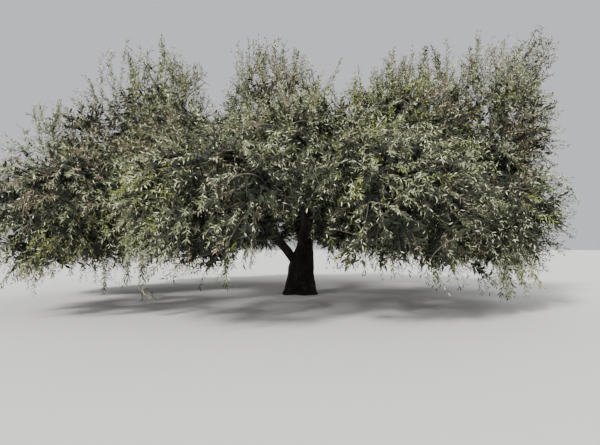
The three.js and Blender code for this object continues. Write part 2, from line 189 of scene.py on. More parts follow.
# Sprays: how much they lean to the left and right, and where they bend back from the tip in shares of their
# span. Lengths of sprays and of the side sprays of shoots, and how many more leaves a shoot has than a spray.
FAN = 0.4
SPRAY_BEND = 0.55
SPRAY_LENGTHS = (0.45, 0.7)
SIDE_SPRAYS = 7
SIDE_SPRAY_LENGTHS = (0.2, 0.45)
LEAVES_OF_SHOOTS = 2.6

# Sizes of leaves in shares of their usual length, the share of leaves that show their silvery underside and
# how large they look, the lengths of shaded leaves, and how much wider than others these are.
LEAF_SIZES = (0.75, 1.3)
FLIPPED = 0.23
FLIPPED_SIZE = 0.85
SHADED_LENGTHS = (0.13, 0.23)
INNER_SCALE = 1.3
SHADED_WIDTH = 1.5
LEAF_CURL = -0.12

# Leaves of sprays and of shoots: their angle to the stem in radians and their size. How far angles vary.
SPRAY_LEAVES = (0.8, 1)
SHOOT_LEAVES = (0.62, 1.15)
ANGLE_VARIETY = 0.18

# The triangles of a spray's stem and of a leaf, and the most that a piece should have.
STEM_TRIANGLES = 11
LEAF_TRIANGLES = 2
LARGEST_PIECE = 185000

# The hem of the crown: its height above the ground by bearing, the share of sprays that trail below it,
# how far it goes up and down, and how near to the trunk nothing is cut.
HEM = [
    (-180, 1.5), (-165, 1.2), (-130, 0.9), (-90, 0.8), (-60, 0.65), (-40, 0.75), (-20, 0.8), (-10, 0.95),
    (-6.4, 1.3), (-3.4, 1.55), (-1.2, 1.7), (-0.2, 2.1), (2, 2.1), (3, 1.7), (4.7, 1.25), (6.7, 0.95),
    (14, 0.85), (35, 0.8), (42, 0.45), (52, 0.45), (62, 0.85), (90, 0.85), (130, 0.9), (165, 1.2), (180, 1.5),
]
TRAILING = 0.04
RAGGED = 0.3
ARCH_RADIUS = 1

# The tallest shoots: the place of the tip, the length, and the lean to the right.
LEADERS = [
    (-7.19, -2.0, 5.15, 0.8, -0.1), (-6.92, -2.2, 5.20, 0.9, 0.0), (-6.70, -1.9, 5.04, 0.8, 0.0),
    (-6.49, -2.0, 5.34, 0.8, 0.1), (-6.35, -1.2, 5.62, 0.9, -0.2), (-6.02, -1.2, 6.12, 1.2, -0.25),
    (-5.77, -1.4, 6.86, 1.5, -0.2), (-5.52, -1.2, 7.21, 1.7, -0.12), (-5.06, -1.1, 7.54, 1.9, 0.12),
    (-4.59, -1.3, 7.07, 1.5, 0.0), (-4.32, -0.9, 6.86, 1.4, 0.0), (-4.01, -1.2, 7.54, 1.9, -0.03),
    (-3.85, -1.0, 7.25, 1.6, 0.05), (-3.62, -1.3, 6.80, 1.4, 0.1), (-3.25, -1.2, 6.45, 1.2, 0.1),
    (-2.81, -1.0, 5.95, 1.0, 0.1), (-2.18, -0.4, 6.2, 1.0, -0.2), (-1.94, -0.4, 7.67, 1.7, -0.15),
    (-1.61, -0.2, 7.95, 1.8, 0.0), (-1.27, -0.4, 8.0, 1.8, 0.0), (-1.02, -0.6, 7.51, 1.4, 0.0),
    (-0.80, -0.4, 8.0, 1.8, 0.05), (-0.49, -0.3, 7.32, 1.4, 0.05), (-0.15, -0.4, 7.63, 1.6, 0.1),
    (0.55, -0.4, 6.69, 1.1, 0.15), (1.26, -0.4, 7.26, 1.5, 0.2), (1.80, -0.3, 6.92, 1.2, -0.1),
    (2.23, -0.3, 6.86, 1.1, 0.0), (2.73, -0.2, 7.33, 1.4, 0.0), (3.10, -0.3, 7.05, 1.2, 0.0),
    (3.47, -0.4, 6.98, 1.2, 0.0), (3.75, -0.2, 7.45, 1.5, 0.0), (3.89, -0.3, 7.71, 1.7, 0.05),
    (4.05, -0.5, 7.6, 1.6, 0.0), (4.23, -0.3, 7.55, 1.5, 0.0), (4.58, -0.3, 8.0, 1.8, 0.1),
    (4.47, -1.9, 6.51, 1.2, 0.0), (4.67, -1.9, 6.90, 1.4, 0.0), (4.87, -1.9, 7.35, 1.8, 0.0),
    (5.16, -1.9, 6.6, 1.3, 0.0), (5.48, -2.0, 6.3, 1.1, 0.1), (6.85, -2.1, 5.35, 0.8, 0.6),
]

# Dense plumes of shoots at the far right, in the same way.
PLUMES = [
    (5.82, -1.9, 6.55, 1.4, 0.35), (6.04, -2.0, 6.95, 1.6, 0.4), (6.27, -1.8, 7.2, 1.8, 0.45),
    (6.5, -1.9, 7.45, 2.0, 0.5), (6.72, -1.9, 7.55, 2.1, 0.5), (6.87, -2.0, 7.2, 1.9, 0.55),
    (7.0, -1.9, 7.1, 1.8, 0.65), (6.75, -2.2, 6.6, 1.3, 0.7), (6.8, -1.8, 6.2, 1.1, 0.8),
]

# Long sprays that hang below the hem, in the same way.
TRAILS = [
    (-3.22, -4.7, 0.43, 1.1, 0.0), (-3.45, -4.9, 0.75, 0.9, 0.1), (-4.14, -4.4, 0.6, 0.9, 0.0),
    (-5.92, -3.9, 0.6, 0.9, -0.1), (-6.2, -4.0, 0.7, 0.8, 0.0), (4.19, -4.5, 0.37, 1.2, -0.2),
    (4.43, -4.3, 0.37, 1.3, 0.1), (4.46, -4.6, 0.4, 1.2, 0.2), (4.91, -4.2, 0.5, 1.1, 0.3),
    (5.3, -4.0, 0.6, 1.1, 0.4), (4.7, -4.4, 0.7, 1.0, 0.5), (5.0, -4.3, 0.8, 1.0, 0.6),
    (-1.24, -6.4, 0.84, 0.7, 0.1), (2.54, -5.6, 0.85, 0.8, 0.0), (3.1, 5.4, 0.5, 1.0, 0.1),
    (-2.2, 5.7, 0.55, 1.0, -0.1), (-5.6, 2.4, 0.5, 1.1, -0.2), (6.2, 1.5, 0.55, 1.0, 0.2),
]

# Places where the foliage opens, and hollows in its outer layer that show the shade inside: the place, the
# half sizes, and the share of foliage that is left.
OPENINGS = [
    ((-2.4, -2.6, 5.3), (0.75, 1.5, 0.75), 0.08), ((-2.45, -0.6, 6.3), (0.5, 3.2, 1.2), 0.05),
    ((0.95, -0.3, 7.0), (0.55, 2.2, 0.9), 0.1), ((-6.4, -4.1, 3.8), (1.3, 1.6, 0.75), 0.12),
    ((5.4, -1.2, 7.0), (0.42, 2.4, 0.85), 0.05),
]
HOLLOWS = [
    ((-0.8, -6.5, 2.4), (0.6, 0.8, 0.4), 0.3), ((-0.45, -6.2, 1.85), (0.45, 0.8, 0.35), 0.25),
    ((2.0, -6.2, 1.75), (0.7, 0.8, 0.4), 0.25), ((0.6, -6.0, 1.9), (0.4, 0.7, 0.35), 0.3),
    ((-1.5, -6.6, 1.6), (0.45, 0.7, 0.3), 0.5), ((4.5, -4.5, 1.6), (0.7, 0.8, 0.4), 0.3),
    ((4.0, -4.4, 3.2), (0.7, 0.8, 0.35), 0.4), ((-3.0, -5.6, 2.9), (0.7, 0.8, 0.35), 0.4),
]

# Patches of one tint, in the order in which they are laid: the tint, and each place and radius.
PATCHES = [
    # The first of these dusty patches brightens the lower left, as painted light.
    ("dusty_and_painted_light", [(-4.6, -5.7, 1.9, 1.5), (-2.4, -6.3, 2.1, 0.9), (-0.6, -3.4, 4.6, 1.0)]),
    # These deep patches lie in the hollows at the front, as painted shade.
    ("deep_and_painted_shade", [
        (-0.9, -6.9, 2.2, 0.7), (-0.4, -6.6, 2.0, 0.6), (-1.3, -7.0, 2.5, 0.6), (2.0, -6.6, 1.8, 0.8),
        (4.1, -4.5, 3.2, 0.9), (0.0, -6.3, 2.5, 0.6), (0.9, -6.4, 1.8, 0.5), (4.5, -4.6, 1.5, 0.8),
        (0.5, -6.3, 2.2, 0.6),
    ]),
    # The second of these dusty patches, on the lower left, is painted light.
    ("dusty_and_painted_light", [
        (-2.1, -6.8, 1.8, 0.8), (-4.5, -5.3, 1.6, 0.9), (1.5, -6.6, 2.8, 0.8), (4.6, -4.4, 0.5, 0.9),
        (-7.0, -2.0, 4.8, 0.8),
    ]),
    # The third and sixth young patches, on the lower left, are painted light.
    ("young_and_painted_light", [
        (1.6, -3.7, 4.8, 0.9), (2.8, -3.7, 5.0, 0.7), (-4.0, -4.9, 1.7, 0.6), (-2.6, -6.6, 2.3, 0.6),
        (0.8, -6.4, 2.4, 0.4), (-5.0, -5.4, 1.5, 0.6),
    ]),
    ("russet", [
        (-5.6, -2.2, 4.6, 0.9), (-4.5, -5.1, 3.3, 0.7), (-3.5, -3.9, 4.1, 0.7), (3.7, -3.2, 5.0, 0.7),
        (5.2, -3.4, 4.2, 0.7), (5.1, -4.6, 3.2, 0.6), (-1.9, -6.3, 1.2, 0.45), (-5.1, -5.8, 2.3, 0.6),
    ]),
    ("dusty_and_painted_light", [(-3.3, -4.8, 0.6, 0.6), (-4.1, -4.4, 0.7, 0.5)]),
    ("young_and_painted_light", [(-6.0, -4.0, 0.7, 0.6), (5.0, -4.2, 0.6, 0.5)]),
    # The second of these dusty patches, on the lower left, is painted light.
    ("dusty_and_painted_light", [(2.2, -5.2, 3.7, 0.9), (-5.8, -4.4, 2.1, 1.1), (-2.0, -5.6, 1.05, 0.5)]),
    ("deep_and_painted_shade", [(6.4, -1.9, 6.8, 1.1), (5.5, -4.1, 2.1, 0.9), (3.4, -5.7, 2.2, 0.7)]),
]


def seeded(seed):
    """Random numbers from 0 to 1, the same stream as the solids have for the same seed."""
    mask = 0xFFFFFFFF
    state = seed & mask

    def draw():
        nonlocal state
        state = (state + 0x6D2B79F5) & mask
        mixed = ((state ^ (state >> 15)) * (state | 1)) & mask
        mixed ^= (mixed + (((mixed ^ (mixed >> 7)) * (mixed | 61)) & mask)) & mask
        return ((mixed ^ (mixed >> 14)) & mask) / 2**32

    return draw


def unit(vector):
    return vector / np.maximum(np.linalg.norm(vector, axis=-1, keepdims=True), 1e-9)


class Curve:
    """A curve sampled evenly along its length, from a function of its own parameter."""

    STEPS = 200

    def __init__(self, point_at):
        points = np.array([point_at(i / self.STEPS) for i in range(self.STEPS + 1)])
        lengths = np.linalg.norm(np.diff(points, axis=0), axis=1)
        self.points = points
        self.along = np.concatenate([[0.0], np.cumsum(lengths)])
        self.length = self.along[-1]

    def at(self, share):
        wanted = np.asarray(share) * self.length
        return np.stack([np.interp(wanted, self.along, self.points[:, k]) for k in range(3)], axis=-1)

    def tangent(self, share):
        step = 0.002
        share = np.asarray(share)
        return unit(self.at(np.minimum(share + step, 1)) - self.at(np.maximum(share - step, 0)))


def bezier(*corners):
    """The point function of a Bezier curve with any number of corners."""
    corners = [np.asarray(corner, dtype=float) for corner in corners]

    def point_at(t):
        points = corners
        while len(points) > 1:
            points = [a * (1 - t) + b * t for a, b in zip(points, points[1:])]
        return points[0]

    return point_at


def smooth_line(points):
    """The point function of a centripetal curve through points."""
    points = [np.asarray(point, dtype=float) for point in points]
    padded = [2 * points[0] - points[1], *points, 2 * points[-1] - points[-2]]

    def point_at(t):
        place = t * (len(points) - 1)
        i = min(int(place), len(points) - 2)
        share = place - i
        a, b, c, d = padded[i : i + 4]
        before, here, after = (math.sqrt(np.linalg.norm(q - p)) for p, q in ((a, b), (b, c), (c, d)))
        start = ((b - a) / before - (c - a) / (before + here) + (c - b) / here) * here
        end = ((c - b) / here - (d - b) / (here + after) + (d - c) / after) * here
        square, cube = share**2, share**3
        corners = b * (2 * cube - 3 * square + 1) + c * (3 * square - 2 * cube)
        return corners + start * (cube - 2 * square + share) + end * (cube - square)

    return point_at


class Mass:
    """A mass of foliage: an ellipsoid that keeps to its own side of a plane towards each neighbour."""

    def __init__(self, name, bearing, reach, height, half, habit):
        angle = math.radians(bearing)
        self.name = name
        self.out = np.array([math.sin(angle), -math.cos(angle), 0.0])
        self.side = np.array([math.cos(angle), math.sin(angle), 0.0])
        self.middle = self.out * reach + UP * height
        self.half = np.array(half)
        self.habit = habit
        self.light = unit(self.out + UP * LIGHT_SLOPE)

    def spot(self, shares):
        """Points in shares of the half sizes outwards, sideways and upwards."""
        sizes = np.asarray(shares) * self.half
        return self.middle + sizes @ np.array([self.out, self.side, UP])

    def reach(self, direction):
        parts = np.array([direction @ self.out, direction @ self.side, direction @ UP]) / self.half
        return 1 / np.linalg.norm(parts)

    def set_walls(self, others):
        spans = [other.middle - self.middle for other in others]
        self.walls = np.array([unit(span) for span in spans])
        limits = []
        for span, wall, other in zip(spans, self.walls, others):
            mine, theirs = self.reach(wall), other.reach(wall)
            limits.append(np.linalg.norm(span) * mine / (mine + theirs) - CLEARANCE)
        self.limits = np.array(limits)

    def pulled(self, points, margin):
        """Points drawn towards the middle until they are a margin inside the mass's own space."""
        offsets = np.atleast_2d(points) - self.middle
        depths = offsets @ self.walls.T
        room = np.maximum(self.limits - margin, 0)
        shares = np.where(depths > 1e-9, room / np.maximum(depths, 1e-9), np.inf).min(axis=1)
        result = self.middle + offsets * np.minimum(shares, 1)[:, None]
        return result if np.ndim(points) == 2 else result[0]


def all_masses():
    rows = [(name, bearing, reach, height, half, "upright") for name, bearing, reach, height, half in PEAKS]
    for i, (reach, height) in enumerate(zip(SHOULDER_REACHES, SHOULDER_HEIGHTS)):
        bearing = i * 360 / len(SHOULDER_REACHES)
        rows.append((f"shoulder_{i + 1}", bearing, reach, height, SHOULDER_HALF, "spreading"))
    for i, reach in enumerate(WEEPING_REACHES):
        bearing = WEEPING_FIRST_BEARING + i * 360 / len(WEEPING_REACHES)
        rows.append((f"weeping_{i + 1}", bearing, reach, WEEPING_HEIGHT, WEEPING_HALF, "weeping"))
    masses = [Mass(*row) for row in rows]
    for i, mass in enumerate(masses):
        mass.seed = FIRST_SEED + SEED_STEP * i
        mass.set_walls([other for other in masses if other is not mass])
        out, up = ENTRIES[mass.habit]
        mass.entry = mass.pulled(mass.spot((out, 0, up)), ENTRY_MARGIN)
        mass.inward = unit(mass.middle - mass.entry)
    return masses


class Limb:
    """A bough or branch: it leaves along its carrier and ends along the way into its mass."""

    def __init__(self, name, mass, start, along, radius):
        span = mass.entry - start
        handle = BEND * np.linalg.norm(span)
        span = unit(span)
        mass.stem_way = unit(mass.inward + span)
        mass.stem_radius = TIP_SHARE * radius
        leaving = unit(span + along)
        corners = (start, start + leaving * handle, mass.entry - mass.stem_way * handle, mass.entry)
        self.curve = Curve(bezier(*corners))
        self.name = name
        self.radius = radius
        self.taken = []

    def radius_at(self, share):
        return self.radius * (1 + (TIP_SHARE - 1) * np.asarray(share) ** TAPER_POWER)


def best_start(limbs, mass):
    """The place on the limbs from which a branch reaches its mass with the least length and turn."""
    best = None
    for limb in limbs:
        steps = round((LAST_START - FIRST_START) / START_STEP) + 1
        for share in (FIRST_START + START_STEP * i for i in range(steps)):
            start, along = limb.curve.at(share), limb.curve.tangent(share)
            span = mass.entry - start
            length = np.linalg.norm(span)
            span = unit(span)
            turns = TURN_COST * (2 - span @ along - span @ mass.inward)
            crowding = sum(abs(other - share) < ROOM_BETWEEN for other in limb.taken)
            cost = length * (1 + turns) + CROWDING_COST * crowding
            if best is None or cost < best[0]:
                best = (cost, limb, share, start, along, length)
    return best[1:]


def all_limbs(masses):
    trunk = Curve(smooth_line([point for point, _ in TRUNK]))
    limbs = []
    for name, mass_name, height, radius in BOUGHS:
        mass = next(mass for mass in masses if mass.name == mass_name)
        share = height / TRUNK[-1][0][2]
        limbs.append(Limb(f"bough_{name}", mass, trunk.at(share), trunk.tangent(share), radius))
    carried = {mass_name for _, mass_name, _, _ in BOUGHS}
    for mass in masses:
        if mass.name in carried:
            continue
        limb, share, start, along, length = best_start(limbs, mass)
        limb.taken.append(share)
        thickest = float(limb.radius_at(share)) * BRANCH_TO_CARRIER
        radius = min(BRANCH_RADIUS, thickest, length * BRANCH_SLIMNESS)
        limbs.append(Limb(f"branch_{mass.name}", mass, start, along, radius))
    return trunk, limbs


def stem_curve(mass):
    start = mass.entry + mass.stem_way * CLEARANCE
    handle = STEM_BEND * np.linalg.norm(mass.middle - start)
    return Curve(bezier(start, start + mass.stem_way * handle, mass.middle))


def first_twigs(mass, stem):
    """The twigs of the solids: their ends are spread evenly, and each starts from the nearest joint."""
    draw = seeded(mass.seed)
    joints = [stem.at(share) for share in STEM_JOINTS]
    twigs = []
    for i in range(TWIGS):
        up = 1 - 2 * (i + 0.5) / TWIGS
        ring = math.sqrt(1 - up * up)
        turn = i * GOLDEN_ANGLE + draw()
        reach = TWIG_REACH * (1 + TWIG_VARIETY * (draw() - 0.5))
        spot = mass.spot((ring * math.cos(turn) * reach, ring * math.sin(turn) * reach, up * reach))
        end = mass.pulled(spot, TWIG_MARGIN)
        if mass.light @ unit(spot - mass.middle) < DARK_SIDE:
            continue
        start = min(joints, key=lambda joint: np.linalg.norm(joint - end))
        twigs.append((start, end))
        joints.append((start + end) / 2)
    return twigs


# Sizes and colours


def metres(name, description, default):
    return bpy.props.FloatProperty(name=name, description=description, default=default, unit="LENGTH")


def factor(name, description, default, **settings):
    return bpy.props.FloatProperty(name=name, description=description, default=default, **settings)


def whole(name, description, default, least=0):
    return bpy.props.IntProperty(name=name, description=description, default=default, min=least)


def tint(name, description, colour):
    return bpy.props.FloatVectorProperty(
        name=name, description=description, default=(*colour, 1.0), size=4, min=0, max=1, subtype="COLOR"
    )


class OliveWood(bpy.types.PropertyGroup):
    """The sizes and colours of the wood"""

    voxel: metres("Bark grain", "Size of the faces of the trunk and boughs", 0.026)
    relief: metres("Bark relief", "Depth of the furrows on the trunk", 0.022)
    gnarl: metres("Gnarls", "Height of the swellings of the trunk", 0.03)
    # The bark's colours are kept near black, painted shade for the trunk and limbs under the crown.
    ridge_colour_in_painted_shade: tint("Ridges", "Colour of the raised bark", (0.036, 0.029, 0.024))
    furrow_colour_in_painted_shade: tint("Furrows", "Colour of the bark in its furrows", (0.008, 0.0066, 0.006))
    lichen_colour_in_painted_shade: tint("Lichen", "Colour of the pale patches on the bark", (0.07, 0.063, 0.053))
    twig_colour: tint("Twigs", "Colour of the fine twigs", (0.16, 0.135, 0.1))


class OliveFoliage(bpy.types.PropertyGroup):
    """The numbers, sizes and colours of the leaves and what carries them"""

    twigs: whole("Twigs", "Fine twigs in each mass of foliage", 60, 1)
    spray_gap: metres("Spray spacing", "Distance between sprays of leaves", 0.273)
    shoots: whole("Shoots", "Long shoots on top of each peak of the crown", 34)
    leaves: whole("Leaves", "Leaves on each spray", 22, 2)
    shaded_leaves: whole("Shaded leaves", "Large leaves on the inner part of each spray", 6, 1)
    inner_leaves: whole("Inner leaves", "Large shaded leaves on the twigs", 48000)
    leaf_length: metres("Leaf length", "Length of a leaf of a spray", 0.096)
    leaf_width: factor("Leaf width", "Width of a leaf in shares of its length", 0.215)
    sage: tint("Sage", "Grey-green leaves", (0.12, 0.149, 0.052))
    # Deep leaves are also painted shade, low down and in the hollows at the front.
    deep_and_painted_shade: tint("Deep", "Dark green leaves", (0.027, 0.037, 0.013))
    # Silver is kept very bright, so that it also stands for painted highlights.
    silver_and_painted_highlight: tint("Silver", "Undersides of leaves that face out", (0.66, 0.68, 0.45))
    # Dusty and young leaves also serve as painted light on the lower left of the crown.
    dusty_and_painted_light: tint("Dusty", "Pale grey-green leaves", (0.24, 0.265, 0.136))
    young_and_painted_light: tint("Young", "Yellow-green leaves", (0.195, 0.225, 0.045))
    russet: tint("Russet", "Brownish leaves", (0.18, 0.13, 0.075))
    # The last two tints are painted shade: near-black colours for the broad leaves below the outer ones and
    # inside the crown.
    painted_half_shade: tint("Dim", "Leaves in half shade below the outer ones", (0.034, 0.043, 0.019))
    inner: tint("Inner", "Leaves in the shade inside the crown", (0.008, 0.011, 0.005))


class OliveStage(bpy.types.PropertyGroup):
    """The camera, the floor and the light"""

    eye_height: metres("Eye height", "Height of the camera", 1.5)
    distance: metres("Distance", "Distance from the camera to the trunk", 14.0)
    pitch: factor("Pitch", "How far the camera looks up", math.radians(2.86), unit="ROTATION")
    lens: factor("Lens", "Focal length in millimetres on a 36 mm sensor", 27.0, min=1)
    floor_colour: tint("Floor", "Colour of the floor", (0.58, 0.57, 0.55))
    sky: factor("Sky", "Strength of the light from all round", 0.72, min=0)


# Meshes


def add_object(name, data):
    piece = bpy.data.objects.new(name, data)
    bpy.context.scene.collection.objects.link(piece)
    return piece


def mesh_of(name, points, faces):
    mesh = bpy.data.meshes.new(name)
    mesh.from_pydata([tuple(point) for point in points], [], faces)
    mesh.update()
    return mesh


def frames_along(curve, shares):
    """Middles, tangents and two turned sideways directions at shares of a curve, without twist."""
    middles, tangents = curve.at(shares), curve.tangent(shares)
    across = unit(np.cross(tangents[0], ACROSS))
    firsts = []
    for tangent in tangents:
        across = unit(across - tangent * (across @ tangent))
        firsts.append(across)
    firsts = np.array(firsts)
    return middles, tangents, firsts, np.cross(tangents, firsts)


def tube(curve, radii, sides):
    """The points and faces of a closed round tube whose radius is given at even shares of a curve."""
    shares = np.linspace(0, 1, len(radii))
    middles, _, firsts, seconds = frames_along(curve, shares)
    angles = np.arange(sides) * 2 * math.pi / sides
    ring = np.cos(angles)[:, None, None] * firsts + np.sin(angles)[:, None, None] * seconds
    points = (middles + ring * np.asarray(radii)[:, None]).transpose(1, 0, 2).reshape(-1, 3)
    return points, tube_faces(len(radii), sides)


def tube_faces(rings, sides):
    """Quads between rings of points, and a cap at each end."""
    faces = [tuple(reversed(range(sides))), tuple(range((rings - 1) * sides, rings * sides))]
    for low in range(0, (rings - 1) * sides, sides):
        for i in range(sides):
            j = (i + 1) % sides
            faces.append((low + i, low + j, low + sides + j, low + sides + i))
    return faces


def trunk_radius(height, angles):
    heights = [point[2] for point, _ in TRUNK]
    radius = np.interp(height, heights, [radius for _, radius in TRUNK])
    twist = FLUTE_TWIST * height / heights[-1]
    flutes = FLUTE_DEPTH * np.cos(FLUTES * angles + twist)
    lobes = ROOT_DEPTH * np.cos(ROOT_LOBES * angles + ROOT_TURN) + RIDGE_DEPTH * np.cos(ROOT_RIDGES * angles)
    flare = max(0.0, 1 - height / ROOT_HEIGHT) ** 2
    return radius * (1 + flutes + flare * lobes)


def trunk_tube(curve, sides, rings):
    """The trunk's points and faces. Its rings are level, and its flutes stand where the solid has them."""
    across = unit(np.cross(UP, ACROSS))
    third = np.cross(UP, across)
    angles = np.arange(sides) * 2 * math.pi / sides
    ring = -np.sin(angles)[:, None] * across - np.cos(angles)[:, None] * third
    points = []
    for share in np.linspace(0, 1, rings):
        middle = curve.at(share)
        points.append(middle + ring * trunk_radius(middle[2], angles)[:, None])
    faces = [tuple(reversed(face)) for face in tube_faces(rings, sides)]
    return np.concatenate(points), faces


def joined(parts):
    """Several lists of points and faces as one."""
    points, faces, count = [], [], 0
    for part_points, part_faces in parts:
        points.append(part_points)
        faces.extend(tuple(i + count for i in face) for face in part_faces)
        count += len(part_points)
    return np.concatenate(points), faces


def baked(piece):
    """Replace a piece's live modifiers by their result."""
    depsgraph = bpy.context.evaluated_depsgraph_get()
    mesh = bpy.data.meshes.new_from_object(piece.evaluated_get(depsgraph))
    old = piece.data
    piece.modifiers.clear()
    piece.data = mesh
    mesh.name = piece.name
    bpy.data.meshes.remove(old)
    return piece


def finish_piece(piece, nodes):
    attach(piece, "root")
    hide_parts(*nodes)


# Materials


def add_node(tree, kind, inputs=None, **settings):
    """A new node. Each of its inputs is given a plain value or another node's socket."""
    node = tree.nodes.new(kind)
    for name, value in settings.items():
        setattr(node, name, value)
    for key, value in (inputs or {}).items():
        if isinstance(value, bpy.types.NodeSocket):
            tree.links.new(value, node.inputs[key])
        else:
            node.inputs[key].default_value = value
    return node


def new_material(name, specular):
    material = bpy.data.materials.new(name)
    material.use_nodes = True
    tree = material.node_tree
    shader = tree.nodes["Principled BSDF"]
    shader.inputs["Specular IOR Level"].default_value = specular
    return material, tree, shader, add_node(tree, "ShaderNodeTexCoord").outputs["Object"]


def noise_at(tree, place, scale, detail, roughness):
    inputs = {"Vector": place, "Scale": scale, "Detail": detail, "Roughness": roughness}
    return add_node(tree, "ShaderNodeTexNoise", inputs).outputs["Fac"]


def ramp(tree, value, low, high, low_value=0.0, high_value=1.0):
    inputs = {"Value": value, "From Min": low, "From Max": high, "To Min": low_value, "To Max": high_value}
    return add_node(tree, "ShaderNodeMapRange", inputs).outputs["Result"]


def mixed_colour(tree, share, first, second):
    """A mix of two colours, each a plain colour or a socket."""
    inputs = {"Factor": share, "A": first, "B": second}
    return add_node(tree, "ShaderNodeMix", inputs, data_type="RGBA").outputs["Result"]


def bark_material(name, wood, grain):
    """Furrowed bark: pale ridges, dark furrows, patches of lichen and a fine grain, all darkened as painted
    shade of the crown.
    """
    material, tree, shader, place = new_material(name, 0.25)
    relief = add_node(tree, "ShaderNodeAttribute", attribute_name="relief").outputs["Fac"]
    stretched = add_node(tree, "ShaderNodeMapping", {"Vector": place, "Scale": (1, 1, 0.3)}).outputs["Vector"]
    fine = noise_at(tree, stretched, grain, 8, 0.65)
    # Higher relief, shifted by the grain, takes the ridge colour and lower relief the furrow colour.
    grain_offset = ramp(tree, fine, 0.3, 0.7, -0.28, 0.28)
    relief_with_grain = add_node(tree, "ShaderNodeMath", {0: relief, 1: grain_offset}, operation="ADD").outputs["Value"]
    raised = ramp(tree, relief_with_grain, 0.25, 0.8)
    colour = mixed_colour(tree, raised, tuple(wood.furrow_colour_in_painted_shade), tuple(wood.ridge_colour_in_painted_shade))
    patches = ramp(tree, noise_at(tree, place, 2.2, 4, 0.55), 0.56, 0.7, 0, 0.55)
    colour = mixed_colour(tree, patches, colour, tuple(wood.lichen_colour_in_painted_shade))
    bump = add_node(tree, "ShaderNodeBump", {"Height": fine, "Strength": 0.7, "Distance": 0.012})
    tree.links.new(colour, shader.inputs["Base Color"])
    tree.links.new(ramp(tree, fine, 0.2, 0.8, 0.82, 0.97), shader.inputs["Roughness"])
    tree.links.new(bump.outputs["Normal"], shader.inputs["Normal"])
    return material


def leaf_material(name, colour, roughness):
    """Leathery leaves of one plain colour, with a soft gloss."""
    material, tree, shader, place = new_material(name, 0.35)
    shader.inputs["Base Color"].default_value = tuple(colour)
    shader.inputs["Sheen Weight"].default_value = 0.08
    shader.inputs["Sheen Roughness"].default_value = 0.5
    gloss = ramp(tree, noise_at(tree, place, 9, 2, 0.6), 0.3, 0.7, roughness - 0.05, roughness + 0.1)
    tree.links.new(gloss, shader.inputs["Roughness"])
    return material


# Trees of geometry nodes


class NodeTree:
    """A tree of geometry nodes with named inputs that ends in Set Material."""

    def __init__(self, name, **inputs):
        self.tree = bpy.data.node_groups.new(name, "GeometryNodeTree")
        self.identifiers = {}
        self.tree.interface.new_socket("Geometry", in_out="OUTPUT", socket_type="NodeSocketGeometry")
        for key, kind in {"Geometry": "Geometry", **inputs, "Material": "Material"}.items():
            socket = self.tree.interface.new_socket(
                key.replace("_", " "), in_out="INPUT", socket_type=f"NodeSocket{kind}"
            )
            self.identifiers[key] = socket.identifier
        self.given = self.tree.nodes.new("NodeGroupInput").outputs

    def node(self, kind, inputs=None, **settings):
        """The first output of a new node."""
        return add_node(self.tree, kind, inputs, **settings).outputs[0]

    def attribute(self, name, kind):
        node = add_node(self.tree, "GeometryNodeInputNamedAttribute", {"Name": name}, data_type=kind)
        return node.outputs["Attribute"]

    def finish(self, geometry):
        inputs = {"Geometry": geometry, "Material": self.given["Material"]}
        end = self.tree.nodes.new("NodeGroupOutput")
        self.tree.links.new(self.node("GeometryNodeSetMaterial", inputs), end.inputs["Geometry"])
        return self

    def apply(self, piece, **values):
        """Run the tree on a piece with named inputs, and keep the result as a plain mesh."""
        modifier = piece.modifiers.new(self.tree.name, "NODES")
        modifier.node_group = self.tree
        for key, value in values.items():
            modifier[self.identifiers[key]] = value
        return baked(piece)


def leaf_tree():
    """Leaves on points. Each leaf is a curled blade with pointed ends, turned and sized by its point."""
    nodes = NodeTree("Olive leaves", Leaf_width="Float", Leaf_curl="Float")

    def maths(operation, *values):
        return nodes.node("ShaderNodeMath", dict(enumerate(values)), operation=operation)

    sizes = {"Size X": 1.0, "Size Y": 1.0, "Vertices X": 3, "Vertices Y": 2}
    position = nodes.node("GeometryNodeInputPosition")
    place = add_node(nodes.tree, "ShaderNodeSeparateXYZ", {0: position}).outputs
    share = maths("ADD", place["X"], 0.5)
    swell = maths("SINE", maths("MULTIPLY", share, math.pi))
    across = maths("MULTIPLY", place["Y"], maths("MULTIPLY", swell, nodes.given["Leaf width"]))
    sag = maths("MULTIPLY", maths("MULTIPLY", share, share), nodes.given["Leaf curl"])
    shaped = nodes.node("ShaderNodeCombineXYZ", {"X": maths("POWER", share, 1.15), "Y": across, "Z": sag})
    grid = nodes.node("GeometryNodeMeshGrid", sizes)
    blade = nodes.node("GeometryNodeSetPosition", {"Geometry": grid, "Position": shaped})
    axes = {"Primary Axis": nodes.attribute("way", "FLOAT_VECTOR")}
    axes["Secondary Axis"] = nodes.attribute("face", "FLOAT_VECTOR")
    inputs = {
        "Points": nodes.given["Geometry"],
        "Instance": nodes.node("GeometryNodeMergeByDistance", {"Geometry": blade, "Distance": 0.01}),
        "Rotation": nodes.node("FunctionNodeAxesToRotation", axes, primary_axis="X", secondary_axis="Z"),
        "Scale": nodes.attribute("size", "FLOAT"),
    }
    leaves = nodes.node("GeometryNodeInstanceOnPoints", inputs)
    return nodes.finish(nodes.node("GeometryNodeRealizeInstances", {"Geometry": leaves}))


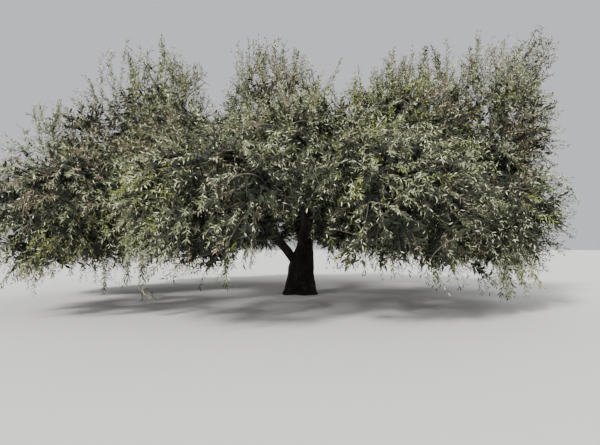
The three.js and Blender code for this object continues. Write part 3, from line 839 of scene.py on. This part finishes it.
def twig_tree():
    """Round twigs along edges, each as thick as the radius of its points."""
    nodes = NodeTree("Olive twigs", Sides="Int")
    ring = {"Resolution": nodes.given["Sides"], "Radius": 1.0}
    inputs = {
        "Curve": nodes.node("GeometryNodeMeshToCurve", {"Mesh": nodes.given["Geometry"]}),
        "Profile Curve": nodes.node("GeometryNodeCurvePrimitiveCircle", ring),
        "Scale": nodes.attribute("thickness", "FLOAT"),
        "Fill Caps": True,
    }
    tubes = nodes.node("GeometryNodeCurveToMesh", inputs)
    return nodes.finish(nodes.node("GeometryNodeMergeByDistance", {"Geometry": tubes, "Distance": 0.0006}))


# Growth


def spread(count, turns):
    """Directions spread evenly over a ball by the golden angle."""
    up = 1 - 2 * (np.arange(count) + 0.5) / count
    ring = np.sqrt(1 - up * up)
    turn = np.arange(count) * GOLDEN_ANGLE + turns
    return np.stack([ring * np.cos(turn), ring * np.sin(turn), up], axis=1)


def arc(start, bend, end, shares):
    """Points and tangents along many curves at once, each from its start past its bend to its end."""
    t = np.asarray(shares)[..., None]
    start, bend, end = (corner[:, None, :] for corner in (start, bend, end))
    points = start * (1 - t) ** 2 + bend * 2 * t * (1 - t) + end * t**2
    tangents = unit((bend - start) * (1 - t) + (end - bend) * t)
    return points, tangents


def nearest(points, candidates):
    """The index of the candidate nearest to each point."""
    tree = KDTree(len(candidates))
    for i, candidate in enumerate(candidates):
        tree.insert(candidate, i)
    tree.balance()
    return np.array([tree.find(point)[1] for point in points])


def noise_values(points, size, seed):
    """Smooth random numbers from -1 to 1 at points."""
    places = points / size + seed * 7.31
    return np.array([noise.noise(place) for place in places])


def above_hem(points, slack=0.0):
    """Whether points are above the hem of the crown, which rises to an arch in front of the trunk."""
    bearings = np.degrees(np.arctan2(points[:, 0], -points[:, 1]))
    hem = np.interp(bearings, *zip(*HEM)) - slack
    return (points[:, 2] > hem) | (np.linalg.norm(points[:, :2], axis=1) < ARCH_RADIUS)


def left_in(points, zones):
    """The share of foliage that zones leave at points."""
    share = np.ones(len(points))
    for place, half, left in zones:
        # A zone fades in round its edge, where the reach is 1.
        reach = np.linalg.norm((points - place) / half, axis=1)
        share = share * np.interp(reach, (0.8, 1.1), (left, 1))
    return share


def low_behind(points):
    """1 low at the sides and back, 0 at the front and higher up. The right side starts further forward."""
    back = points[:, 1] + np.maximum(points[:, 0] - 4, 0)
    return np.interp(back, (-3, -1), (0, 1)) * np.interp(points[:, 2], (3.3, 4.2), (1, 0))


def lit(points, ways):
    """How much faces with these ways out see of the light, from -1 to 1, at points of the crown."""
    light = unit(unit(points * (1, 1, 0) + UP * 1e-3) + UP * LIGHT_SLOPE)
    return (ways * light).sum(axis=1)


class Crown:
    """The outer surface of the crown: the masses' ellipsoids, blended where they meet."""

    def __init__(self, masses):
        lobes = [(mass.middle, mass.out, mass.side, mass.half, mass.habit) for mass in masses]
        for place, half, habit in LOBES:
            lobes.append((np.array(place), np.array([0, -1, 0]), np.array([1, 0, 0]), np.array(half), habit))
        self.middles = np.array([lobe[0] for lobe in lobes])
        self.frames = np.array([np.array([out, side, UP]) / half[:, None] for _, out, side, half, _ in lobes])
        self.lifts = np.array([HABITS[habit]["lift"] for *_, habit in lobes])
        self.peaks = np.array([float(habit == "upright") for *_, habit in lobes])
        self.hangs = np.array([HANG if habit == "weeping" else 1 for *_, habit in lobes])

    def read(self, points):
        """Facts about points, as columns: their depth (0 in the middle of a mass and 1 on the surface), the
        way out (3 columns), how far sprays rise, how high up a peak they are, and how near to a valley."""
        facts = []
        for part in np.array_split(points, max(1, len(points) // 20000)):
            offsets = part[:, None, :] - self.middles
            parts = np.einsum("pmk,mjk->pmj", offsets, self.frames)
            parts[..., 2] *= np.where(parts[..., 2] < 0, self.hangs, 1)
            reach = np.linalg.norm(parts, axis=2)
            least = reach.min(axis=1, keepdims=True)
            weights = np.exp(-BLEND * (reach - least))
            total = weights.sum(axis=1, keepdims=True)
            depth = least - np.log(total) / BLEND
            valley = np.minimum(total - 1, 1)
            weights = weights / total
            slopes = np.einsum("pmj,mjk->pmk", parts / reach[..., None], self.frames)
            way = unit((slopes * weights[..., None]).sum(axis=1))
            lift = (weights * self.lifts).sum(axis=1, keepdims=True)
            top = (weights * self.peaks * parts[..., 2]).sum(axis=1, keepdims=True)
            facts.append(np.hstack([depth, way, lift, top, valley]))
        return np.concatenate(facts)

    def surface(self, mass, directions):
        """How far out, in shares of a mass's half sizes, the surface lies in each direction."""
        low, high = np.ones(len(directions)), np.full(len(directions), 1.35)
        for _ in range(12):
            middle = (low + high) / 2
            outside = self.read(mass.spot(directions * middle[:, None]))[:, 0] > 1
            high = np.where(outside, middle, high)
            low = np.where(outside, low, middle)
        return low

    def scattered(self, gap, draws):
        """Points spread evenly through the crown's leafy layer, with hills and hollows, and their facts."""
        axes = [np.arange(low, high, gap) for low, high in zip(LOWEST_TIP, HIGHEST_TIP)]
        cells = np.stack(np.meshgrid(*axes, indexing="ij"), axis=-1).reshape(-1, 3)
        points = cells + draws.uniform(0, gap, cells.shape)
        facts = self.read(points)
        near = (facts[:, 0] > 0.3) & (facts[:, 0] < 1.1) & above_hem(points)
        points, facts = points[near], facts[near]
        hills = noise_values(points, HILL_SIZE, 1) + 0.5 * noise_values(points, HILL_SIZE / 2, 2)
        facts[:, 0] += HILLS * hills
        inmost = np.interp(facts[:, 5], (-0.8, -0.3), (LAYER[0], LAYER_OF_PEAKS))
        kept = (facts[:, 0] > inmost) & (facts[:, 0] < LAYER[1])
        return points[kept], facts[kept]


class Growth:
    """Everything that grows on the limbs: lines of twigs, and leaves by kind."""

    def __init__(self, masses, foliage):
        self.foliage = foliage
        self.crown = Crown(masses)
        self.lines = []
        self.leaves = []
        twigs = [self.grow_twigs(mass) for mass in masses]
        self.starts, self.bends, self.ends = (np.concatenate(part) for part in zip(*twigs))
        shares = np.tile(np.linspace(0.25, 1, 7), (len(self.starts), 1))
        self.places = arc(self.starts, self.bends, self.ends, shares)[0].reshape(-1, 3)
        self.grow_sprays()
        self.grow_inner_leaves()
        for mass in masses:
            self.grow_shoots(mass)
        self.grow_leaders()

    def add_line(self, points, first, last):
        """A line for a twig, with the radius at each of its points."""
        self.lines.append((points, np.linspace(first, last, len(points))))

    def grow_twigs(self, mass):
        """The twigs of the solids, and finer twigs that start from the nearest point of what grew before."""
        draws = np.random.default_rng(mass.seed)
        stem = stem_curve(mass)
        joints = [stem.at(share) for share in STEM_JOINTS]
        self.add_line(stem.at(np.linspace(0, 1, 9)), mass.stem_radius, STEM_END)
        arch = HABITS[mass.habit]["arch"]
        for start, end in first_twigs(mass, stem):
            if not above_hem(end[None])[0]:
                continue
            bend = (start + end) / 2 + UP * arch * 0.5 * np.linalg.norm(end - start)
            points, _ = arc(start[None], bend[None], end[None], np.linspace(0, 1, 7)[None])
            self.add_line(points[0], *TWIG_RADII)
            joints.extend(points[0, 2:])
        count = self.foliage.twigs
        directions = spread(count, draws.random(count))
        reach = self.crown.surface(mass, directions) * draws.uniform(*TWIG_ENDS, count)
        ends = mass.pulled(mass.spot(directions * reach[:, None]), FINE_TWIG_MARGIN)
        ends = ends[above_hem(ends, -0.15) & (draws.random(count) < left_in(ends, OPENINGS))]
        starts = []
        for end in ends:
            gaps = np.linalg.norm(np.array(joints) - end, axis=1)
            starts.append(joints[gaps.argmin()])
            joints.append((starts[-1] + end) / 2)
        starts = np.array(starts)
        bends = (starts + ends) / 2 + UP * arch * np.linalg.norm(ends - starts, axis=1, keepdims=True)
        points, _ = arc(starts, bends, ends, np.tile(np.linspace(0, 1, 6), (len(ends), 1)))
        for line in points:
            self.add_line(line, *FINE_TWIG_RADII)
        return starts, bends, ends

    def grow_sprays(self):
        """Sprays of leaves through the outer layer of the crown, each from the nearest twig."""
        draws = np.random.default_rng(FIRST_SEED)
        places, facts = self.crown.scattered(self.foliage.spray_gap, draws)
        depths, ways, lifts, tops = facts[:, 0], facts[:, 1:4], facts[:, 4:5], facts[:, 5]
        shade = lit(places, ways)
        # Sprays thin out at the bottom of the layer and in the shade, though not low behind, where the crown
        # would let light through, and on the peaks, where shoots take over.
        filled = np.interp(depths, (LAYER[0], 0.8), (0.55, 1))
        filled = np.maximum(filled, np.interp(tops, (-0.5, -0.2), (0, 0.7)))
        behind = low_behind(places)
        chance = np.maximum(np.interp(shade, (-0.7, -0.1), (0.3, 1)), behind) * np.maximum(filled, behind)
        chance = chance * np.interp(tops, (0.0, 0.5), (1, 0.08)) * left_in(places, OPENINGS + HOLLOWS)
        kept = draws.random(len(places)) < chance
        places, ways, lifts = places[kept], ways[kept], lifts[kept]
        count = len(places)
        # They lean out to the left and right of the trunk, and rise or hang with their mass.
        fan = np.tanh(places[:, :1] / 2) * (FAN, 0, 0)
        heading = unit(ways * 0.75 + UP * lifts + fan + draws.normal(0, 0.3, (count, 3)))
        length = draws.uniform(*SPRAY_LENGTHS, count)[:, None]
        tips = places + heading * length * 0.5
        ragged = RAGGED * noise_values(tips * (1, 1, 0), 0.4, 5)
        kept = above_hem(tips, ragged) | (draws.random(count) < TRAILING)
        places, heading, length, tips = places[kept], heading[kept], length[kept], tips[kept]
        roots = self.places[nearest(places - heading * length * 0.6, self.places)]
        bends = self.add_sprays(draws, roots, heading, tips, length, self.foliage.leaves)
        # The inner part of each spray carries broad leaves whose dark colour is painted shade.
        shares = draws.uniform(0.05, 0.65, (len(roots), self.foliage.shaded_leaves))
        inner, along = arc(roots, bends, tips, shares)
        self.add_shaded_leaves(draws, inner.reshape(-1, 3), along.reshape(-1, 3))

    def grow_shoots(self, mass):
        """Long upright shoots that stand out of the top of a mass."""
        habit = HABITS[mass.habit]
        count = round(self.foliage.shoots * habit["shoots"])
        if not count:
            return
        draws = np.random.default_rng(mass.seed + 2)
        turns = np.arange(count) * GOLDEN_ANGLE + draws.random()
        spreads = np.sqrt((np.arange(count) + 0.5) / count) * 0.9
        sides = np.stack([np.cos(turns) * spreads, np.sin(turns) * spreads], axis=1)
        rise = draws.uniform(*habit["rise"], count)
        tips = mass.spot(np.column_stack([sides, np.sqrt(1 - spreads**2)])) + UP * rise[:, None]
        length = draws.uniform(*habit["shoot"], count)[:, None]
        heading = unit(UP + (tips - mass.middle) * (1, 1, 0) * 0.12 + draws.normal(0, 0.07, (count, 3)))
        kept = draws.random(count) < left_in(tips - heading * length * 0.3, OPENINGS)
        self.add_shoots(draws, heading[kept], tips[kept], length[kept])

    def grow_leaders(self):
        """The tallest shoots, which draw the skyline, and the longest hanging sprays."""
        draws = np.random.default_rng(FIRST_SEED + 3)
        for table, up, times in ((LEADERS, 1, 2), (PLUMES, 1, 4), (TRAILS, -1, 2)):
            rows = np.repeat(np.array(table), times, axis=0)
            tips, length = rows[:, :3], rows[:, 3:4]
            ways = np.column_stack([rows[:, 4], np.zeros(len(rows)), np.full(len(rows), up)])
            beside = (np.arange(len(tips)) % times > 0)[:, None]
            # Each row's further shoots stand beside the first and end lower down.
            aside = draws.uniform(-0.3, 0.3, tips.shape) * (1, 1.5, 0)
            tips += beside * (aside - ways * draws.uniform(0.1, 0.7, (len(tips), 1)))
            self.add_shoots(draws, unit(ways + draws.normal(0, 0.05, tips.shape)), tips, length)

    def add_shoots(self, draws, heading, tips, length):
        """Upright shoots with leaves all along and short side sprays."""
        roots = self.places[nearest(tips - heading * length * 1.1, self.places)]
        leaves = round(self.foliage.leaves * LEAVES_OF_SHOOTS)
        bends = self.add_sprays(draws, roots, heading, tips, length, leaves, 5)
        shares = np.clip(1 - length / np.linalg.norm(tips - roots, axis=1, keepdims=True), 0.1, 0.6)
        steps = np.arange(SIDE_SPRAYS) + draws.random((len(tips), SIDE_SPRAYS))
        shares = shares + (0.92 - shares) * steps / SIDE_SPRAYS
        starts, along = arc(roots, bends, tips, shares)
        starts, along = starts.reshape(-1, 3), along.reshape(-1, 3)
        count = len(starts)
        ways = unit(along + draws.normal(0, 0.4, (count, 3)) * (1, 1, 0.4))
        length = draws.uniform(*SIDE_SPRAY_LENGTHS, count)[:, None]
        self.add_sprays(draws, starts, ways, starts + ways * length, length, self.foliage.leaves // 2)

    def add_sprays(self, draws, roots, heading, tips, length, leaves, steps=3):
        """Stems from roots to tips, with pairs of leaves on their last part. Returns their bends."""
        tips = np.clip(tips, LOWEST_TIP + (0, 0, 0.35), HIGHEST_TIP)
        spans = np.linalg.norm(tips - roots, axis=1, keepdims=True)
        bends = tips - heading * spans * SPRAY_BEND
        points, _ = arc(roots, bends, tips, np.tile(np.linspace(0, 1, steps), (len(roots), 1)))
        for line in points:
            self.add_line(line, *SPRAY_RADII)
        count = len(roots)
        # Leaves stand on the last part of the curve, as long as the spray, in shares of about its length.
        run = (2 * spans + np.linalg.norm(bends - roots, axis=1, keepdims=True) + spans * SPRAY_BEND) / 3
        first = np.clip(1 - length / run, 0.05, 0.7)
        pairs = np.arange(leaves) // 2
        shares = (pairs + 0.5 + draws.uniform(-0.2, 0.2, (count, leaves))) / ((leaves + 1) // 2)
        shares = first + (1 - first) * shares
        places, along = arc(roots, bends, tips, shares)
        # Pairs of leaves stand opposite each other, and each pair is turned by a quarter from the last.
        across = unit(np.cross(along, UP + 0.01))
        third = np.cross(along, across)
        turn = draws.uniform(0, math.pi, (count, 1)) + pairs * math.pi / 2 + (np.arange(leaves) % 2) * math.pi
        turn = (turn + draws.normal(0, 0.3, (count, leaves)))[..., None]
        side = across * np.cos(turn) + third * np.sin(turn)
        angle, scale = SHOOT_LEAVES if steps > 3 else SPRAY_LEAVES
        opened = draws.normal(angle, ANGLE_VARIETY, (count, leaves, 1))
        way = unit(along * np.cos(opened) + side * np.sin(opened) - UP * 0.1)
        face = unit(along * 0.4 - side * 0.4 + UP * 0.6 + draws.normal(0, 0.7, (count, leaves, 3)))
        size = self.foliage.leaf_length * draws.uniform(*LEAF_SIZES, (count, leaves)) * scale
        # A spray's tint follows slow patches over the crown, and single leaves show their silvery underside,
        # brightened into painted highlights.
        middles = places.mean(axis=1)
        patch = noise_values(middles, 1.1, 3) + 0.5 * noise_values(middles, 0.45, 4)
        patch = patch + draws.normal(0, 0.28, count)
        flipped = draws.random(count * leaves) < FLIPPED
        size = size * np.where(flipped.reshape(size.shape), FLIPPED_SIZE, 1)
        mood = np.repeat(draws.random(count), leaves)
        self.add_leaves(places, way, face, size, np.repeat(patch, leaves), mood, flipped)
        return bends

    def add_leaves(self, places, way, face, size, patch, mood, flipped, shade=0):
        """Leaves by columns. Their shade, painted into their colour, is 0 for outer leaves, 1 for painted
        half shade and 2 for painted full shade.
        """
        leaves = {"size": size.reshape(-1), "patch": patch, "mood": mood, "flipped": flipped}
        leaves["shade"] = np.broadcast_to(shade, len(patch))
        for name, vectors in (("place", places), ("way", way), ("face", face)):
            leaves[name] = vectors.reshape(-1, 3)
        self.leaves.append(leaves)

    def grow_inner_leaves(self):
        """Larger leaves in the shade along the twigs, dark with painted shade."""
        draws = np.random.default_rng(FIRST_SEED + 1)
        count = self.foliage.inner_leaves
        which = np.arange(count * 3) % len(self.starts)
        shares = draws.uniform(0.0, 1, (len(which), 1))
        places, along = arc(self.starts[which], self.bends[which], self.ends[which], shares)
        places, along = places[:, 0], along[:, 0]
        facts = self.crown.read(places)
        chance = np.interp(facts[:, 5], (0.0, 0.35), (1, 0)) * left_in(places, OPENINGS)
        chance = chance * np.interp(places[:, 2], (3.6, 4.6), (1, 0.3))
        # Dark leaves reach further out on the side away from the light and in valleys between masses,
        # deepening the painted shade there.
        dark = np.interp(lit(places, facts[:, 1:4]), (-0.6, 0), (0.2, 0))
        behind = low_behind(places)
        chance = chance * np.interp(behind, (0, 1), (0.6, 1))
        inside = facts[:, 0] < SHADE + 0.16 * facts[:, 6] + dark + 0.12 * behind
        chosen = np.flatnonzero(inside & (draws.random(len(which)) < chance))[:count]
        self.add_shaded_leaves(draws, places[chosen], along[chosen], INNER_SCALE)

    def add_shaded_leaves(self, draws, places, along, scale=1.0):
        """Broad leaves that face outwards, well below the outer leaves, dark with painted shade."""
        facts = self.crown.read(places)
        kept = draws.random(len(places)) < np.interp(facts[:, 5], (0.1, 0.5), (1, 0.05))
        # They too reach further out on the side away from the light and in valleys, where the painted shade
        # is deeper.
        dark = np.interp(lit(places, facts[:, 1:4]), (-0.6, 0), (0.15, 0))
        deepest = draws.uniform(0.72, 0.84, len(places)) + 0.16 * facts[:, 6]
        kept &= facts[:, 0] < deepest + dark + 0.1 * low_behind(places)
        kept &= above_hem(places, -0.3)
        places, along, depths, out = places[kept], along[kept], facts[kept, 0], facts[kept, 1:4]
        count = len(places)
        way = unit(along * 0.4 + draws.normal(0, 0.6, (count, 3)))
        face = unit(out + draws.normal(0, 0.35, (count, 3)))
        size = scale * draws.uniform(*SHADED_LENGTHS, count)
        plain = np.zeros(count)
        # Those nearer the surface take the painted half shade, the deeper ones the painted full shade.
        shade = np.where(draws.random(count) < np.interp(depths, (0.6, 0.85), (0.1, 0.75)), 1, 2)
        self.add_leaves(places, way, face, size, plain, plain, plain > 0, shade)


# Tips of sprays and shoots stay this near to the solids' box.
LOWEST_TIP = np.array(FRAME_BOX[0]) - (0.1, 0.1, 0)
HIGHEST_TIP = np.array(FRAME_BOX[1]) + (0.1, 0.1, 0.13)


def limb_nodes(kinds):
    return sorted(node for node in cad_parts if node.startswith(kinds))


@functools.cache
def skeleton():
    """The masses, the trunk and the limbs."""
    masses = all_masses()
    return masses, *all_limbs(masses)


@functools.cache
def grown():
    """The twigs and leaves that grow on the skeleton."""
    return Growth(skeleton()[0], bpy.context.scene.olive_foliage)


# Bark: how close its furrows and its swellings stand, sideways and lengthwise, the furrows' fractal
# (roughness, spacing of octaves, octaves, offset and gain) and the share of it that counts, the height in it
# that stays in place, the radius of a limb that it is made for, and where it fades out above the ground.
FURROWS = (13, 13, 2.6)
SWELLINGS = (2.4, 2.4, 1.5)
FRACTAL = (0.9, 2.1, 4, 0.9, 1.6)
FRACTAL_SHARE = 0.42
SKIN_HEIGHT = 0.55
BARK_RADIUS = 0.3
GROUND_FADE = 0.05
POINTS_AT_ONCE = 4000
LINE_POINTS = 40


def vectors_of(mesh, name):
    values = np.empty(len(mesh.vertices) * 3)
    mesh.vertices.foreach_get(name, values)
    return values.reshape(-1, 3)


def carve_bark(mesh, lines, wood, seed):
    """Move the points of a limb's skin in and out: swellings and long furrows."""
    points, normals = vectors_of(mesh, "co"), vectors_of(mesh, "normal")
    middles, tangents, firsts, radii, along = (np.concatenate(part) for part in zip(*lines))
    relief, shift = np.empty(len(points)), np.empty(len(points))
    for low in range(0, len(points), POINTS_AT_ONCE):
        part = points[low : low + POINTS_AT_ONCE]
        best = (np.linalg.norm(part[:, None, :] - middles, axis=2) / radii).argmin(axis=1)
        offset = part - middles[best]
        seconds = np.cross(tangents[best], firsts[best])
        run = along[best] + (offset * tangents[best]).sum(axis=1)
        spots = np.column_stack([(offset * firsts[best]).sum(axis=1), (offset * seconds).sum(axis=1), run])
        thick = np.clip(radii[best] / BARK_RADIUS, 0.3, 1.2)
        furrows = spots * FURROWS / np.sqrt(thick)[:, None] + (0, 0, seed)
        swellings = spots * SWELLINGS + (0, 0, 7 * seed)
        for i in range(len(part)):
            ridge = noise.ridged_multi_fractal(furrows[i], *FRACTAL)
            height = min(1.0, max(0.0, ridge * FRACTAL_SHARE))
            relief[low + i] = height
            swell = noise.noise(swellings[i])
            shift[low + i] = ((height - SKIN_HEIGHT) * wood.relief + swell * wood.gnarl) * thick[i]
    level = np.clip(points[:, 2] / GROUND_FADE, 0, 1)
    points += normals * (shift * level)[:, None]
    points[:, 2] = np.maximum(points[:, 2], 0)
    mesh.vertices.foreach_set("co", points.reshape(-1))
    mesh.attributes.new("relief", "FLOAT", "POINT").data.foreach_set("value", relief)
    mesh.update()


def line_of(curve, radius_at, first=0.0):
    """A limb's middle line: places, tangents, directions across, radii, and lengths from the first one."""
    shares = np.linspace(0, 1, LINE_POINTS)
    middles, tangents, firsts, _ = frames_along(curve, shares)
    radii = np.array([float(np.mean(radius_at(share))) for share in shares])
    return middles, tangents, firsts, radii, first + shares * curve.length


def finish_bark(piece, lines, seed, material_name, grain, kinds):
    """Carve a piece's bark along its limbs' middle lines, and give it its material and its place."""
    wood = bpy.context.scene.olive_wood
    carve_bark(piece.data, lines, wood, seed)
    piece.data.polygons.foreach_set("use_smooth", [True] * len(piece.data.polygons))
    piece.data.materials.append(bark_material(material_name, wood, grain))
    finish_piece(piece, limb_nodes(kinds))
    return {"FINISHED"}


class OLIVE_OT_wood(bpy.types.Operator):
    """Build the trunk and boughs, grown together at the forks, with furrowed bark"""

    bl_idname = "olive.wood"
    bl_label = "Trunk and boughs"

    def execute(self, context):
        _, trunk, limbs = skeleton()
        parts = [trunk_tube(trunk, TRUNK_SIDES, TRUNK_RINGS)]
        angles = np.linspace(0, 6, 24)
        lines = [line_of(trunk, lambda share: trunk_radius(float(trunk.at(share)[2]), angles))]
        for i, limb in enumerate(limb for limb in limbs if limb.name.startswith("bough")):
            parts.append(tube(limb.curve, limb.radius_at(np.linspace(0, 1, BOUGH_RINGS)), BOUGH_SIDES))
            lines.append(line_of(limb.curve, limb.radius_at, 3.0 * i))
        piece = add_object("trunk_and_boughs", mesh_of("trunk_and_boughs", *joined(parts)))
        remesh = piece.modifiers.new("Grown together", "REMESH")
        remesh.mode = "VOXEL"
        remesh.voxel_size = context.scene.olive_wood.voxel
        smooth = piece.modifiers.new("Soft forks", "SMOOTH")
        smooth.iterations = 6
        return finish_bark(baked(piece), lines, 1.0, "Olive bark", 26, ("trunk", "bough"))


class OLIVE_OT_branches(bpy.types.Operator):
    """Build the branches that carry the masses of foliage"""

    bl_idname = "olive.branches"
    bl_label = "Branches"

    def execute(self, context):
        parts, lines = [], []
        for i, limb in enumerate(limb for limb in skeleton()[2] if limb.name.startswith("branch")):
            shares = np.linspace(0, 1, max(12, int(limb.curve.length / BRANCH_STEP)))
            collar = 1 + COLLAR * np.exp(-shares * limb.curve.length / COLLAR_LENGTH)
            parts.append(tube(limb.curve, limb.radius_at(shares) * collar, BRANCH_SIDES))
            lines.append(line_of(limb.curve, limb.radius_at, 5.0 * i))
        piece = add_object("branches", mesh_of("branches", *joined(parts)))
        return finish_bark(piece, lines, 3.0, "Olive branch bark", 40, "branch")


class OLIVE_OT_twigs(bpy.types.Operator):
    """Build the stems and twigs inside the masses of foliage"""

    bl_idname = "olive.twigs"
    bl_label = "Twigs"

    def execute(self, context):
        material = leaf_material("Olive twig bark", context.scene.olive_wood.twig_colour, 0.85)
        tree = twig_tree()
        lines = grown().lines
        self.build("twigs", [line for line in lines if line[1][0] > SPRAY_LIMIT], tree, material)
        thin = [line for line in lines if line[1][0] <= SPRAY_LIMIT]
        groups = math.ceil(len(thin) * STEM_TRIANGLES / LARGEST_PIECE)
        for i in range(groups):
            self.build(f"spray_stems_{i + 1}", thin[i::groups], tree, material)
        return {"FINISHED"}

    def build(self, name, lines, tree, material):
        """Three-sided twigs along lines, as one piece."""
        edges, first = [], 0
        for line, _ in lines:
            edges.extend((first + i, first + i + 1) for i in range(len(line) - 1))
            first += len(line)
        mesh = bpy.data.meshes.new(name)
        mesh.from_pydata([tuple(point) for line, _ in lines for point in line], edges, [])
        thickness = np.concatenate([radii for _, radii in lines])
        mesh.attributes.new("thickness", "FLOAT", "POINT").data.foreach_set("value", thickness)
        piece = add_object(name, mesh)
        tree.apply(piece, Sides=3, Material=material)
        finish_piece(piece, limb_nodes("foliage"))


# Tints by the rising patch value of their sprays, with their shares. Single leaves are silver as well, bright
# as painted highlights.
LEAF_SHARES = {"russet": 0.1, "dusty_and_painted_light": 0.15, "sage": 0.28, "silver_and_painted_highlight": 0.02, "deep_and_painted_shade": 0.31, "young_and_painted_light": 0.14}


class OLIVE_OT_leaves(bpy.types.Operator):
    """Build the leaves, each kind apart"""

    bl_idname = "olive.leaves"
    bl_label = "Leaves"

    def execute(self, context):
        foliage = context.scene.olive_foliage
        parts = grown().leaves
        leaves = {key: np.concatenate([part[key] for part in parts]) for key in parts[0]}
        kinds = self.deal_kinds(leaves)
        tree = leaf_tree()
        rows = [(name, kinds == i, 0.5, 1) for i, name in enumerate(LEAF_SHARES)]
        # The broad shaded leaves take the tints of painted half shade and painted full shade.
        rows += [(name, leaves["shade"] == i, 0.7, SHADED_WIDTH) for i, name in ((1, "painted_half_shade"), (2, "inner"))]
        for name, chosen, roughness, widening in rows:
            material = leaf_material(f"Olive leaf {name}", getattr(foliage, name), roughness)
            self.build(f"leaves_{name}", leaves, chosen, tree, material, foliage.leaf_width * widening)
        return {"FINISHED"}

    def deal_kinds(self, leaves):
        """Give each spray its tint by patches, and turn some leaves to show their silvery underside,
        brightened as painted highlights.
        """
        outer = leaves["shade"] == 0
        limits = np.quantile(leaves["patch"][outer], np.cumsum(list(LEAF_SHARES.values()))[:-1])
        kinds = np.searchsorted(limits, leaves["patch"])
        names = list(LEAF_SHARES)
        # Low down more sprays take the deep tint, as painted shade under the crown, though fewer of them at
        # the far left, which is kept lighter.
        low = np.interp(leaves["place"][:, 2], (1.2, 3.6), (0.45, 0))
        low = low * np.interp(leaves["place"][:, 0], (-4.5, -2.5), (0.4, 1))
        kinds[leaves["mood"] > 1 - low] = names.index("deep_and_painted_shade")
        for name, patches in PATCHES:
            for *place, radius in patches:
                near = np.linalg.norm(leaves["place"] - place, axis=1) < radius
                kinds[near & (leaves["mood"] < 0.6)] = names.index(name)
        kinds[leaves["flipped"]] = names.index("silver_and_painted_highlight")
        kinds[~outer] = -1
        return kinds

    def build(self, name, leaves, chosen, tree, material, width):
        """Leaves of one kind as pieces, from left to right."""
        order = np.flatnonzero(chosen)
        order = order[np.argsort(leaves["place"][order, 0], kind="stable")]
        groups = math.ceil(len(order) * LEAF_TRIANGLES / LARGEST_PIECE)
        for i, part in enumerate(np.array_split(order, groups)):
            label = name if groups == 1 else f"{name}_{i + 1}"
            mesh = bpy.data.meshes.new(label)
            mesh.vertices.add(len(part))
            mesh.vertices.foreach_set("co", leaves["place"][part].reshape(-1))
            for key in ("way", "face"):
                attribute = mesh.attributes.new(key, "FLOAT_VECTOR", "POINT")
                attribute.data.foreach_set("vector", leaves[key][part].reshape(-1))
            mesh.attributes.new("size", "FLOAT", "POINT").data.foreach_set("value", leaves["size"][part])
            piece = add_object(label, mesh)
            tree.apply(piece, Leaf_width=width, Leaf_curl=LEAF_CURL, Material=material)
            finish_piece(piece, limb_nodes("foliage"))


# The stage: how far the floor reaches, and the lights by name, strength, width in degrees and place.
FLOOR_REACH = 120.0
LIGHTS = [("key", 5.2, 12, (-7, -10, 11)), ("fill", 1.0, 50, (9, -6, 7)), ("back", 1.6, 50, (4, 12, 9))]


class OLIVE_OT_stage(bpy.types.Operator):
    """Set the floor, the lights and the camera"""

    bl_idname = "olive.stage"
    bl_label = "Stage"

    def execute(self, context):
        scene = context.scene
        stage = scene.olive_stage
        corners = [(x * FLOOR_REACH, y * FLOOR_REACH, 0) for x, y in ((-1, -1), (1, -1), (1, 1), (-1, 1))]
        floor = add_object("floor", mesh_of("floor", corners, [(0, 1, 2, 3)]))
        material, _, shader, _ = new_material("Plain floor", 0.1)
        shader.inputs["Base Color"].default_value = tuple(stage.floor_colour)
        shader.inputs["Roughness"].default_value = 0.9
        floor.data.materials.append(material)
        for name, strength, softness, place in LIGHTS:
            light = bpy.data.lights.new(name, "SUN")
            light.energy = strength
            light.angle = math.radians(softness)
            lamp = add_object(name, light)
            lamp.location = place
            lamp.rotation_euler = Vector(place).to_track_quat("Z", "Y").to_euler()
        world = bpy.data.worlds.new("Studio")
        world.use_nodes = True
        background = world.node_tree.nodes["Background"]
        background.inputs["Color"].default_value = (0.95, 0.96, 1.0, 1)
        background.inputs["Strength"].default_value = stage.sky
        scene.world = world
        camera = bpy.data.cameras.new("camera")
        camera.lens = stage.lens
        camera.sensor_width = 36
        camera.clip_end = 500
        viewer = add_object("camera", camera)
        viewer.location = (0, -stage.distance, stage.eye_height)
        viewer.rotation_euler = (math.pi / 2 + stage.pitch, 0, 0)
        scene.camera = viewer
        return {"FINISHED"}


class OLIVE_PT_panel(bpy.types.Panel):
    """Lists the pieces of the tree and their sizes and colours"""

    bl_idname = "OLIVE_PT_panel"
    bl_label = "Olive tree"
    bl_space_type = "VIEW_3D"
    bl_region_type = "UI"
    bl_category = "Olive"

    def draw(self, context):
        for operator in OPERATORS:
            self.layout.operator(operator.bl_idname)
        for group in GROUPS:
            box = self.layout.box()
            settings = getattr(context.scene, group)
            for name in settings.bl_rna.properties.keys():
                if name not in ("rna_type", "name"):
                    box.prop(settings, name)


OPERATORS = (OLIVE_OT_wood, OLIVE_OT_branches, OLIVE_OT_twigs, OLIVE_OT_leaves, OLIVE_OT_stage)
GROUPS = {"olive_wood": OliveWood, "olive_foliage": OliveFoliage, "olive_stage": OliveStage}


def register():
    for kind in (*GROUPS.values(), *OPERATORS, OLIVE_PT_panel):
        bpy.utils.register_class(kind)
    for name, kind in GROUPS.items():
        setattr(bpy.types.Scene, name, bpy.props.PointerProperty(type=kind))


def unregister():
    for name in GROUPS:
        delattr(bpy.types.Scene, name)
    for kind in reversed((*GROUPS.values(), *OPERATORS, OLIVE_PT_panel)):
        bpy.utils.unregister_class(kind)


def main():
    register()
    bpy.ops.olive.wood()
    bpy.ops.olive.branches()
    bpy.ops.olive.twigs()
    bpy.ops.olive.leaves()
    bpy.ops.olive.stage()


if __name__ == "__main__":
    main()
